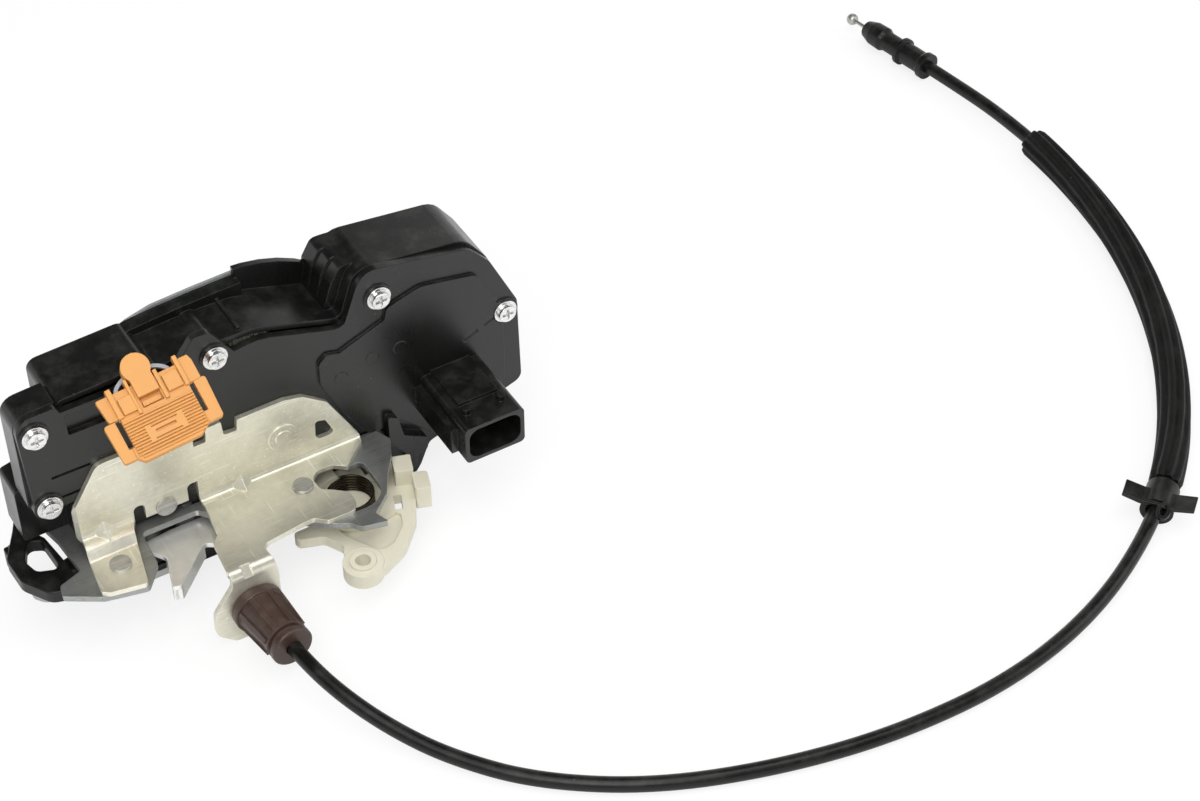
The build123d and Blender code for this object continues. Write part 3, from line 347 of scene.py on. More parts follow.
FINISHES = {
    "housing_plastic": moulding("housing_black", (0.0050, 0.0055, 0.0048), (0.025, 0.025, 0.025),
                                0.30, grain=700.0),
    "case_plastic": moulding("case_black", (0.0045, 0.0048, 0.0043), (0.025, 0.025, 0.025), 0.36,
                             Specular_IOR_Level=0.35),
    "conduit_plastic": moulding("conduit_black", (0.0040, 0.0040, 0.0036), (0.02, 0.02, 0.02), 0.34,
                                wear=0.0, Specular_IOR_Level=0.32),
    "sleeve_plastic": moulding("sleeve_black", (0.0040, 0.0040, 0.0036), (0.02, 0.02, 0.02), 0.55,
                               wear=0.1, dust=0.02, Specular_IOR_Level=0.25),
    "seal_foam": moulding("seal_grey", (0.24, 0.25, 0.25), (0.35, 0.35, 0.35), 0.7, grain=1500.0,
                          wear=0.1),
    "rubber_parts": moulding("bumper_rubber", (0.012, 0.012, 0.012), (0.03, 0.03, 0.03), 0.7),
    "cream_plastic": moulding("lever_cream", (0.69, 0.66, 0.53), (0.85, 0.82, 0.72), 0.38, wear=0.2,
                              drift=0.95, Subsurface_Weight=0.25,
                              Subsurface_Radius=(0.004, 0.0035, 0.0025)),
    "gear_plastic": moulding("gear_natural", (0.75, 0.72, 0.6), (0.85, 0.82, 0.72), 0.4,
                             drift=0.95),
    "orange_plastic": moulding("retainer_orange", (0.70, 0.325, 0.075), (0.84, 0.47, 0.16), 0.44,
                               wear=0.25, drift=0.95, Subsurface_Weight=0.1,
                               Subsurface_Radius=(0.0006, 0.0002, 0.0001)),
    "grey_plastic": moulding("tether_grey", (0.33, 0.36, 0.40), (0.5, 0.52, 0.55), 0.42,
                             drift=0.95),
    "brown_plastic": moulding("grommet_brown", (0.050, 0.026, 0.019), (0.16, 0.10, 0.08), 0.36,
                              wear=0.45, dust=0.08),
    "zinc_sheet": sheet_metal("bracket_zinc", (0.72, 0.70, 0.59), (0.88, 0.86, 0.73), 0.40,
                              lines=0.06, clouds=0.7, scratches=0.7),
    "bright_sheet": sheet_metal("release_zinc", (0.86, 0.86, 0.84), (0.97, 0.97, 0.95), 0.36,
                                lines=0.1),
    "grey_sheet": sheet_metal("plate_grey", (0.27, 0.28, 0.27), (0.38, 0.39, 0.38), 0.42,
                              clouds=0.7),
    "plain_steel": sheet_metal("steel_plain", (0.36, 0.36, 0.35), (0.50, 0.50, 0.48), 0.36),
    "spring_wire": sheet_metal("spring_dark", (0.012, 0.009, 0.004), (0.045, 0.037, 0.022), 0.22,
                               scratches=0.2),
    "rivet_steel": sheet_metal("rivet_head", (0.36, 0.36, 0.34), (0.60, 0.59, 0.55), 0.42,
                               wear=0.7),
    "motor_can": sheet_metal("motor_can_steel", (0.5, 0.5, 0.5), (0.6, 0.6, 0.6), 0.35),
    "core_wire": sheet_metal("core_wire_steel", (0.3, 0.29, 0.27), (0.5, 0.48, 0.44), 0.35),
    "screws": sheet_metal("screw_zinc", (0.6, 0.6, 0.6), (0.85, 0.85, 0.84), 0.22, wear=0.8,
                          metallic=1.0),
    "ball_steel": sheet_metal("ball_zinc", (0.35, 0.35, 0.34), (0.5, 0.5, 0.48), 0.35),
    "terminals": sheet_metal("terminal_tin", (0.6, 0.58, 0.5), (0.8, 0.78, 0.7), 0.3),
}


# ---------------------------------------------------------------- pieces
SHARP_ANGLE, BEVEL_ANGLE = 35, 28    # degrees between faces
WELD_DIST = 0.000004


def finish_object(obj, body, slot_name, node, finish=None):
    """Gives a piece its finish, lets it ride on its body and stand for its CAD node."""
    obj.data.materials.clear()
    obj.data.materials.append(FINISHES[finish or slot_name])
    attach(obj, body)
    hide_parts(node)
    return obj


def body_of(node):
    for body, members in frame["record"]["behaviour"]["bodies"].items():
        if node in members:
            return body
    raise KeyError(node)


def smooth(mesh, angle=SHARP_ANGLE):
    """Smooth shading, with the edges sharper than the angle left sharp."""
    for polygon in mesh.polygons:
        polygon.use_smooth = True
    mesh.set_sharp_from_angle(angle=radians(angle))


def soften(obj, width):
    """Smooth shading, and corners rounded over the width, in millimetres."""
    smooth(obj.data)
    if not width:
        return
    bevel = obj.modifiers.new("corner", "BEVEL")
    bevel.width = width * MM
    bevel.segments = 2
    bevel.limit_method = "ANGLE"
    bevel.angle_limit = radians(BEVEL_ANGLE)
    bevel.use_clamp_overlap = True
    bevel.miter_outer = "MITER_ARC"
    obj.modifiers.new("even", "WEIGHTED_NORMAL").keep_sharp = True


def rounded_copy(node, width, finish=None):
    """Piece with the node's own shape and softened corners; it stands for the node."""
    bm = bmesh.new()
    bm.from_mesh(nodes[node].data)
    bmesh.ops.remove_doubles(bm, verts=bm.verts, dist=WELD_DIST)
    bmesh.ops.dissolve_limit(bm, angle_limit=radians(1.0), verts=bm.verts, edges=bm.edges)
    obj = scene_object(node + "_dressed", mesh_of(bm, node))
    soften(obj, width)
    return finish_object(obj, body_of(node), slots[node], node, finish)


CORNER_WIDTHS = {"cable_fitting": 0.3, "fishmouth_surround": 0.6, "cable_clip": 0.4,
                 "cable_end_fitting": 0.3, "cover_screws": 0.2}
for name, obj in nodes.items():
    obj.data.materials.clear()
    obj.data.materials.append(FINISHES[slots[name]])
softened = {node: rounded_copy(node, width) for node, width in CORNER_WIDTHS.items()}


# ---------------------------------------------------------------- solid forms, drawn in millimetres
DATUM = Vector((2.0, 17.0, 0.0))     # the drawing's datum in the part's own frame
ARC_STEP = radians(15)
ARC_SHARE = 0.48                     # most of a side that one rounded corner may take
RING_SIDES = 48
DOUBLE_DIST, FLAT_ANGLE = 0.00001, 0.5    # metres and degrees that the cleaning takes out


def outline(*corners):
    """Closed line through the corners (x, y, radius), with the rounded ones drawn as short runs."""
    points = []
    for i, (x, y, radius) in enumerate(corners):
        here = Vector((x, y))
        back = Vector(corners[i - 1][:2]) - here
        ahead = Vector(corners[(i + 1) % len(corners)][:2]) - here
        half = back.angle(ahead) / 2
        if radius <= 0 or abs(half - pi / 2) < 0.01:
            points.append(here)
            continue
        reach = min(radius / tan(half), ARC_SHARE * back.length, ARC_SHARE * ahead.length)
        inwards = (back.normalized() + ahead.normalized()).normalized()
        centre = here + inwards * (reach / cos(half))
        first = here + back.normalized() * reach - centre
        last = here + ahead.normalized() * reach - centre
        start = atan2(first.y, first.x)
        sweep = (atan2(last.y, last.x) - start + pi) % (2 * pi) - pi
        steps = max(2, round(abs(sweep) / ARC_STEP))
        for k in range(steps + 1):
            angle = start + sweep * k / steps
            points.append(centre + Vector((cos(angle), sin(angle))) * first.length)
    return points


def inset(corners, wall):
    """The corners moved one wall inwards, with their rounding to suit."""
    flat = [Vector(corner[:2]) for corner in corners]
    area = sum(a.x * b.y - b.x * a.y for a, b in zip(flat, flat[1:] + flat[:1]))
    side = 1 if area > 0 else -1
    moved = []
    for i, here in enumerate(flat):
        before = (here - flat[i - 1]).normalized()
        after = (flat[(i + 1) % len(flat)] - here).normalized()
        lefts = [Vector((-way.y, way.x)) * side for way in (before, after)]
        middle = (lefts[0] + lefts[1]).normalized()
        turn = (before.x * after.y - before.y * after.x) * side
        radius = corners[i][2]
        if radius:
            radius = max(0, radius - wall) if turn > 0 else radius + wall
        moved.append((*(here + middle * (wall / middle.dot(lefts[0]))), radius))
    return moved


def ring_line(x, y, r, r_y=0):
    """Round or oval line."""
    turns = [2 * pi * k / RING_SIDES for k in range(RING_SIDES)]
    return [(x + r * cos(turn), y + (r_y or r) * sin(turn)) for turn in turns]


class Form:
    """Closed mesh that other forms are added to, cut from or clipped by."""

    def __init__(self, mesh):
        self.mesh = mesh

    def combined(self, other, operation):
        carrier, cutter = [scene_object("form", form.mesh) for form in (self, other)]
        tool = carrier.modifiers.new("tool", "BOOLEAN")
        tool.operation = operation
        tool.solver = "MANIFOLD"
        tool.object = cutter
        result = applied(carrier)
        bpy.data.objects.remove(cutter)
        return Form(result)

    def __add__(self, other):
        return self.combined(other, "UNION")

    def __sub__(self, other):
        return self.combined(other, "DIFFERENCE")

    def __and__(self, other):
        return self.combined(other, "INTERSECT")

    def turned(self, matrix):
        mesh = self.mesh.copy()
        mesh.transform(matrix)
        return Form(mesh)


def together(*forms):
    """Forms that don't touch, as one."""
    bm = bmesh.new()
    for form in forms:
        bm.from_mesh(form.mesh)
    return Form(mesh_of(bm))


def closed(bm):
    """Form of the bmesh, with its faces turned outwards."""
    bmesh.ops.recalc_face_normals(bm, faces=bm.faces)
    return Form(mesh_of(bm))


def prism(points, low, high, axis="z"):
    """Solid on the line from one level to another along an axis."""
    def spot(point, level):
        return {"z": (point[0], point[1], level), "y": (point[0], level, point[1]),
                "x": (level, point[0], point[1])}[axis]
    bm = bmesh.new()
    rows = [[bm.verts.new(spot(point, level)) for point in points] for level in (low, high)]
    for row in rows:
        bm.faces.new(row)
    for k in range(len(points)):
        after = (k + 1) % len(points)
        bm.faces.new((rows[0][k], rows[0][after], rows[1][after], rows[1][k]))
    return closed(bm)


def peg(x, y, low, high, r):
    """Round peg along Z."""
    return prism(ring_line(x, y, r), low, high)


def bar_y(x, z, front, back, r):
    """Round bar along Y."""
    return prism(ring_line(x, z, r), front, back, "y")


def block(x0, x1, y0, y1, z0, z1):
    return prism([(x0, y0), (x1, y0), (x1, y1), (x0, y1)], z0, z1)


def leaned(form, place, degrees, axis):
    """The form turned about its own axis and moved to a place."""
    return form.turned(Matrix.Translation(place) @ Matrix.Rotation(radians(degrees), 4, axis))


def bent_sheet(points, thickness, bend):
    """Section of a bent sheet: one face follows the points, the other lies to their left."""
    near, far = [], []
    for i, point in enumerate(points):
        here = Vector(point)
        ways = []
        if i > 0:
            ways.append((here - Vector(points[i - 1])).normalized())
        if i < len(points) - 1:
            ways.append((Vector(points[i + 1]) - here).normalized())
        lefts = [Vector((-way.y, way.x)) for way in ways]
        middle = lefts[0] if len(lefts) == 1 else (lefts[0] + lefts[1]).normalized()
        across = here + middle * (thickness / middle.dot(lefts[0]))
        inside = outside = 0
        if len(ways) == 2:
            turn = ways[0].x * ways[1].y - ways[0].y * ways[1].x
            inside, outside = (bend + thickness, bend) if turn > 0 else (bend, bend + thickness)
        near.append((here.x, here.y, inside))
        far.append((across.x, across.y, outside))
    return outline(*near, *reversed(far))


def dressed(name, form, node, width, finish=None):
    """Piece that stands for the node: the form in its place, with softened corners and a finish."""
    form.mesh.transform(Matrix.Scale(MM, 4) @ Matrix.Translation(DATUM))
    bm = bmesh.new()
    bm.from_mesh(form.mesh)
    bmesh.ops.dissolve_degenerate(bm, dist=DOUBLE_DIST, edges=bm.edges)
    bmesh.ops.dissolve_limit(bm, angle_limit=radians(FLAT_ANGLE), verts=bm.verts, edges=bm.edges)
    obj = scene_object(name, mesh_of(bm, name))
    soften(obj, width)
    return finish_object(obj, body_of(node), slots[node], node, finish)


# ---------------------------------------------------------------- sheet bracket and plates
RUN_GAP = 0.05                       # between a pin and what turns on it
BRACKET_T, BRACKET_BEND = 2.0, 1.6
SHELF_TOP, TAB_STEP, UPRIGHT_TOP, ARM_REACH = 32.0, 4.0, 67.0, 39.0
FRAME_T, FRAME_TOP, FRAME_BACK = 2.4, 30.0, 30.0
FITTING_X, FITTING_Z, FITTING_NECK = -32.3, 14.0, 6.8
RIVET_R, RIVET_HEAD_R, RIVET_HEAD_T = 2.2, 3.8, 1.2
TAB_RIVET = (-69.8, -14.0)           # across and back
FACE_RIVET = (-46.1, 36.2)           # across and up
FORK_PIN, PAWL_PIN = (-66, 14, 3.2), (-51, 9, 1.9)
DART_W, DART_H = 5.4, 5.2
FOLD_W, FOLD_REACH, FOLD_X = 3.4, 2.4, -33.7
PRESSED_RING_R, PRESSED_EYE_R, PRESSED_Z = 5.6, 3.1, 46
RELEASE_X, RELEASE_Y, RELEASE_Z = 0.2, -12.8, 23.5
RELEASE_T, RELEASE_WALL, RELEASE_PIN_R = 2.0, 5, 2.5


def bend_dart(x, z):
    """Pressed dart across the inside bend: a ridge that falls away to both sides."""
    bm = bmesh.new()
    left, right, top, front, back = [bm.verts.new(spot) for spot in (
        (x - DART_W, 0.6, z - 0.6), (x + DART_W, 0.6, z - 0.6), (x, 0.5, z + DART_H),
        (x, -DART_H, z - 0.5), (x, 0.9, z - 0.9))]
    for corners in ((left, front, top), (right, top, front), (left, back, front),
                    (right, front, back), (left, top, back), (right, back, top)):
        bm.faces.new(corners)
    return closed(bm)


def frame_bracket():
    """Bent sheet: upright, shelf and arm with the cable's ear, and the stepped tab."""
    line = [(0, UPRIGHT_TOP), (0, SHELF_TOP), (-ARM_REACH, SHELF_TOP), (-ARM_REACH, 0)]
    section = bent_sheet(line, BRACKET_T, BRACKET_BEND)
    plan = outline((-33.5, 3, 0), (-33.5, -4, 0), (-35.2, -18, 1), (-38.5, -21.5, 1), (-40, -36, 1),
                   (-49, -37, 0), (-49, -44, 0), (-20, -44, 0), (-23.7, -37, 1), (-24.4, -30.6, 4),
                   (-9, -28.8, 3), (-3.5, -28.4, 2), (0.5, -32, 1.5), (10.5, -32.4, 2.5),
                   (13.2, -28.5, 4), (12.6, -22.8, 3), (8.5, -19.4, 2), (5, -17, 3), (4.7, -11, 4),
                   (8.5, -8, 3.5), (14, -8.4, 3), (18.3, -11.8, 0.5), (22.3, -8.1, 1),
                   (28.5, -3, 1), (30, 3, 0))
    sheet = prism(section, -48, 30, "x") & prism(plan, -1, UPRIGHT_TOP + 1)
    ear = outline((-40, 34, 0), (-40, 26.5, 3), (-47.6, 16.5, 5), (-48, 6.5, 5), (-41, 0, 3),
                  (-24, 0, 3), (-21.5, 6, 3), (-22.5, 24, 4), (-23.7, 34, 0))
    face = outline((-50, 26, 0), (-50, 57.9, 0), (-28.4, 57.9, 0.8), (-28, 64.2, 0.4),
                   (-22.1, 64.3, 0.4), (-21.6, 58, 0.8), (-16.6, 57.5, 0.8), (-16.2, 62.5, 0.4),
                   (2, 62.7, 3), (9, 61, 3), (18, 54, 3), (29, 33, 1), (31, 26, 0))
    sheet &= (prism(face, -ARM_REACH + 3, 3, "y")
              + prism(ear, -ARM_REACH - 1, -ARM_REACH + 3.5, "y"))
    sheet -= bar_y(FITTING_X, FITTING_Z, -50, -30, FITTING_NECK)
    sheet += upright_left()
    sheet += together(bend_dart(-17.5, SHELF_TOP), bend_dart(-69.3, SHELF_TOP + TAB_STEP),
                      bar_y(0, PRESSED_Z, -0.5, 0.1, PRESSED_RING_R))
    sheet += bar_y(0, PRESSED_Z, -0.85, -0.4, PRESSED_EYE_R)
    fold = block(-FOLD_W / 2, FOLD_W / 2, -FOLD_REACH, FOLD_REACH, -FOLD_REACH, FOLD_REACH)
    fold = leaned(fold, (FOLD_X, -ARM_REACH, SHELF_TOP), 45, "X")
    window = outline((12.6, 47.2, 1.2), (16.6, 46, 1), (19.4, 39.6, 1), (18.2, 38, 1),
                     (13.6, 38.2, 1), (12.3, 40, 1))
    return sheet - together(
        fold, prism(window, -1, BRACKET_T + 1, "y"),
        bar_y(*FACE_RIVET, -1, BRACKET_T + 1, RIVET_R),
        peg(RELEASE_X, RELEASE_Y, FRAME_TOP - 1, SHELF_TOP + 8, RELEASE_PIN_R),
        peg(*TAB_RIVET, FRAME_TOP - 1, SHELF_TOP + 8, RIVET_R))


def upright_left():
    """Left end of the upright with its stepped tab."""
    line = [(0, UPRIGHT_TOP), (0, SHELF_TOP + TAB_STEP), (-4.5, SHELF_TOP + TAB_STEP),
            (-8.0, SHELF_TOP), (-27, SHELF_TOP)]
    section = bent_sheet(line, BRACKET_T, BRACKET_BEND)
    plan = outline((-79.5, 3, 0), (-77.5, 0, 0), (-80.5, -22, 1), (-78, -24, 2), (-65, -26.5, 1.5),
                   (-60, -4, 0), (-58, 0, 0), (-33, 0, 0), (-33, 3, 0))
    face = outline((-84, 26, 0), (-79.3, 47, 2), (-78, 51, 2), (-68.5, 66, 3), (-64, 67.5, 2),
                   (-33, 66.5, 0), (-33, 41.6, 0), (-37.6, 41.6, 2), (-37.6, 31, 0),
                   (-53.7, 30.5, 0.5), (-53.7, 41, 1.9), (-57.9, 41, 1.9), (-57.9, 26, 0))
    flat = prism(section, -82, -33, "x") & prism(plan, -1, UPRIGHT_TOP + 1)
    return flat & prism(face, -30, 3, "y")


def frame_plate():
    """Grey plate under the shelf, open round the return spring."""
    plan = outline((-85, FRAME_BACK, 2), (-85, 17, 1), (-83.5, 10, 1), (-82.2, -7.5, 1),
                   (-91, -10.5, 2), (-92, -15.5, 1), (-80, -23, 1), (-65, -26.5, 2), (-58, -18, 3),
                   (-57, -2, 2), (-36, -2, 2), (-31, -9, 4), (-12, -22, 3), (2, -32.5, 3),
                   (7.7, -35.6, 3), (9.5, -39, 3), (19.2, -41.3, 0.4), (17, -35.6, 1),
                   (24.8, -29.2, 5), (29.4, -21, 5), (35.5, -12.5, 3), (38.8, -5.5, 1),
                   (36, 1.5, 0), (-39.5, 1.5, 1), (-39.5, FRAME_BACK, 2))
    plate = prism(plan, FRAME_TOP - FRAME_T, FRAME_TOP)
    opening = outline((24.7, -10, 4), (25, -32, 9), (4, -31, 6), (3, -5.6, 5), (15, -5.4, 3),
                      (19.2, -10.4, 1))
    low, high = FRAME_TOP - FRAME_T - 1, FRAME_TOP + 1
    holes = (FORK_PIN, PAWL_PIN, (RELEASE_X, RELEASE_Y, RELEASE_PIN_R), (*TAB_RIVET, RIVET_R))
    pins = [peg(x, y, low, high, r) for x, y, r in holes]
    return plate - together(prism(opening, low, high), *pins)


def plate_rivets():
    """Rivets of the tab and of the upright."""
    tab = peg(*TAB_RIVET, FRAME_TOP - FRAME_T, SHELF_TOP + 0.1, RIVET_R)
    tab += peg(*TAB_RIVET, SHELF_TOP, SHELF_TOP + RIVET_HEAD_T, RIVET_HEAD_R)
    face = bar_y(*FACE_RIVET, -0.1, BRACKET_T, RIVET_R)
    return together(tab, face + bar_y(*FACE_RIVET, -RIVET_HEAD_T, 0, RIVET_HEAD_R))


def release_lever():
    """Folded sheet lever: a flange with two turned-down walls, on an arm to its pin."""
    low, foot = RELEASE_Z, RELEASE_Z - RELEASE_WALL
    plan = outline((RELEASE_X + 5, RELEASE_Y + 4, 4), (RELEASE_X + 5, RELEASE_Y - 5, 4),
                   (RELEASE_X - 8, RELEASE_Y - 7, 2), (-34, -17, 3), (-39.2, -13.6, 2),
                   (-54, -27.7, 2), (-57.3, -27, 2), (-53, -13, 4), (-60, -3, 2), (-47, -1.6, 3),
                   (-33.5, -1.6, 4), (-29, -6, 4), (RELEASE_X - 6, RELEASE_Y + 7, 4))
    front = [(-54, -27.7), (-39.2, -13.9), (-40.6, -12.5), (-55.4, -26.3)]
    left = [(-57, -27), (-54, -13), (-52, -13), (-55, -26.6)]
    walls = prism(front, foot, low + 0.5) + prism(left, foot, low + 0.5)
    body = prism(plan, low, low + RELEASE_T)
    body += walls & prism(plan, foot, low + 1)
    return body - peg(RELEASE_X, RELEASE_Y, 0, 40, RELEASE_PIN_R + RUN_GAP)


dressed("bracket_sheet", frame_bracket(), "frame_bracket", 0.3)
dressed("grey_plate", frame_plate(), "frame_plate", 0.25)
dressed("rivets", plate_rivets(), "plate_rivets", 0.35, "rivet_steel")
dressed("release_sheet", release_lever(), "release_lever", 0.3, "bright_sheet")
rounded_copy("release_pin", 0.35, "rivet_steel")


# ---------------------------------------------------------------- handle lever and its spring
LEVER_X, LEVER_Y, LEVER_Z, LEVER_T = 16.2, -18.6, 14.4, 4.4
LEVER_TOP = LEVER_Z + LEVER_T
DISC_R, LEDGE_R, LEDGE_H = 19.2, 13.6, 2.8
POCKET_DEPTH, CUP_WALL = 1.6, 2.2
ROD_X, ROD_Y, ROD_HOLE_R, ROD_BOSS_R = 6.5, -45.0, 2.8, 7.3
INNER_TAB_TOP, OUTER_TAB_TOP = 26, 24.5
STUD_R, LEVER_SKIN = 3.5, 1.0
SEAT_TOP, SEAT_T = 14.1, 4.5
COIL_X, COIL_R, COIL_WIRE = LEVER_X - 0.8, 8.3, 1.0
COIL_PITCH, COIL_TURNS, COIL_STEPS, COIL_TAIL = 1.34, 5, 28, 7


def handle_lever():
    """Moulded lever with a pocket, a window, two tabs, the rod's boss and the spring's cup."""
    top = LEVER_TOP
    plan = outline((-8.5, -19.5, 2), (-8, -23.5, 2), (0.5, -26.5, 3), (4.6, -34, 3), (2.5, -38, 0),
                   (6, -52, 2), (13, -50.3, 4), (23, -45.5, 9), (32.5, -35.5, 8), (38, -25, 6),
                   (41, -12, 3), (37, -5, 2), (28, -7, 4), (22, -6.5, 4), (8, -8, 6), (0, -19.5, 3))
    body = prism(plan, LEVER_Z, top)
    body += peg(LEVER_X, LEVER_Y, LEVER_Z, top, DISC_R) & block(3, 27, -19, 2, 0, 30)
    ledge = peg(LEVER_X, LEVER_Y, top - 1, top + LEDGE_H, DISC_R)
    ledge -= peg(LEVER_X, LEVER_Y, 0, 30, LEDGE_R)
    body += ledge & block(3, 17, -15, 2, 0, 30)
    pocket = outline((6, -24, 2), (7.2, -29.7, 3), (10.8, -36.5, 3), (14.6, -42.5, 3),
                     (20, -42.3, 4), (27, -36, 6), (29, -30.5, 1), (27.8, -29, 1), (24, -30, 4),
                     (14, -31, 8))
    body -= prism(pocket, top - POCKET_DEPTH, top + 1)
    cup = COIL_R + COIL_WIRE / 2 + 0.3
    body += peg(COIL_X, LEVER_Y, top - 1, top + 0.5, cup + CUP_WALL)
    body -= peg(COIL_X, LEVER_Y, top, FRAME_TOP, cup)
    body += peg(ROD_X, ROD_Y, LEVER_Z - 1, top + 0.6, ROD_BOSS_R)
    body += peg(ROD_X, ROD_Y, top, top + 1.6, ROD_HOLE_R + 1.9)
    inner_tab = outline((36.3, -10.2, 0.6), (42.8, -12.4, 0.6), (40.2, -20, 0.6),
                        (33.7, -17.8, 0.6))
    outer_tab = outline((39.4, -19.6, 0.6), (44.8, -21.4, 1.5), (42.2, -29.4, 0.6),
                        (36.8, -27.6, 0.6))
    body += prism(inner_tab, LEVER_Z, INNER_TAB_TOP)
    body += prism(outer_tab, LEVER_Z, OUTER_TAB_TOP)
    opening = outline((30.8, -21.4, 0.4), (33.4, -22.4, 0.4), (30.8, -28.9, 0.4),
                      (28.2, -27.9, 0.4))
    return body - together(
        prism(opening, 0, FRAME_TOP), peg(ROD_X, ROD_Y, 0, FRAME_TOP, ROD_HOLE_R),
        peg(LEVER_X, LEVER_Y, 0, top - LEVER_SKIN, STUD_R + RUN_GAP))


def lever_seat():
    """Arm of the cover under the handle lever, with the seat of the lever's pin."""
    low = SEAT_TOP - SEAT_T
    arm = outline((LEVER_X - 9, 3, 0), (LEVER_X - 6, LEVER_Y, 0), (LEVER_X - 6, LEVER_Y - 6, 5.5),
                  (LEVER_X + 6, LEVER_Y - 6, 5.5), (LEVER_X + 6, LEVER_Y, 0), (LEVER_X + 9, 3, 0))
    seat = prism(arm, low, SEAT_TOP)
    web = [(3, low + 0.5), (3, low - 8), (LEVER_Y + 6, low), (LEVER_Y + 6, low + 0.5)]
    seat += together(*[prism(web, x - 1, x + 1, "x") for x in (LEVER_X - 5, LEVER_X + 5)])
    return seat - peg(LEVER_X, LEVER_Y, low - 1, SEAT_TOP + 1, STUD_R)


def coil_spring():
    """Closed-wound return spring, as one round wire."""
    curve = bpy.data.curves.new("return_spring", "CURVE")
    curve.dimensions = "3D"
    curve.bevel_depth = COIL_WIRE / 2
    curve.bevel_resolution = 3
    curve.use_fill_caps = True
    base = LEVER_TOP + 0.1 + COIL_WIRE / 2
    spline = curve.splines.new("POLY")
    spline.points.add(COIL_TURNS * COIL_STEPS + COIL_TAIL)
    for k, point in enumerate(spline.points):
        angle = 2 * pi * k / COIL_STEPS
        point.co = (COIL_X + COIL_R * cos(angle), LEVER_Y + COIL_R * sin(angle),
                    base + COIL_PITCH * k / COIL_STEPS, 1.0)
    return Form(applied(scene_object("return_spring", curve)))


dressed("cream_lever", handle_lever(), "handle_lever", 0.45)
dressed("lever_pin",
        peg(LEVER_X, LEVER_Y, SEAT_TOP - SEAT_T, LEVER_TOP - LEVER_SKIN - 0.3, STUD_R),
        "lever_stud", 0.3)
dressed("coil_spring", coil_spring(), "lever_spring", 0)


# ---------------------------------------------------------------- cover and housing
COVER_FRONT, COVER_BACK, HOUSING_BACK, WALL = 2.0, 5.0, 29.0, 2.2
DRUM_X, DRUM_Z = -4.0, 50.0
FLANGE_R, FLANGE_ROOT_R = 54.5, 43.5
RAISED_T, RECESS_FLOOR, MARK_R = 1.3, 0.8, 2.6
SCREW_R, SCREW_HEAD_R = 2.0, 4.6
SCREW_SPOTS = [(-86.0, 88.5), (-85.8, 55.5), (-20.5, 93.0), (41.5, 91.5), (91.0, 62.5)]
SCREW_BOSS_BACK = 18.0               # depth of the bosses at the left end
MARKS = ((24.5, 62.0), (37.0, 65.6), (48.1, 65.5))
GROOVES = (57, 67)
SLANTED_SLOTS, SLOT_LEAN = ((76.3, 57.7), (85, 61.5)), -24
SOCKET_X, SOCKET_Z, SOCKET_W, SOCKET_H = 67.5, 39.2, 24, 16.5
SOCKET_REACH, SOCKET_WALL, SOCKET_DEPTH = 34, 1.6, 20
REAR_EDGE = [(-77, 30.3, 0), (-77, 96.5, 4), (-43, 98, 4), (-40, 95, 1), (-26, 96, 1),
             (DRUM_X, 96, 30), (22, 87.5, 3), (28, 85.5, 3), (34.5, 104.5, 8), (78, 99, 9),
             (86, 88, 3), (96.5, 65, 4), (97.5, 26, 4), (58, 12.5, 3), (54, 3, 2), (52, 0, 0),
             (-36, 0, 0), (-36, 30.3, 0)]


def at_screws(front, back, r):
    """Round bars on the axes of the cover's screws."""
    return together(*[bar_y(x, z, front, back, r) for x, z in SCREW_SPOTS])


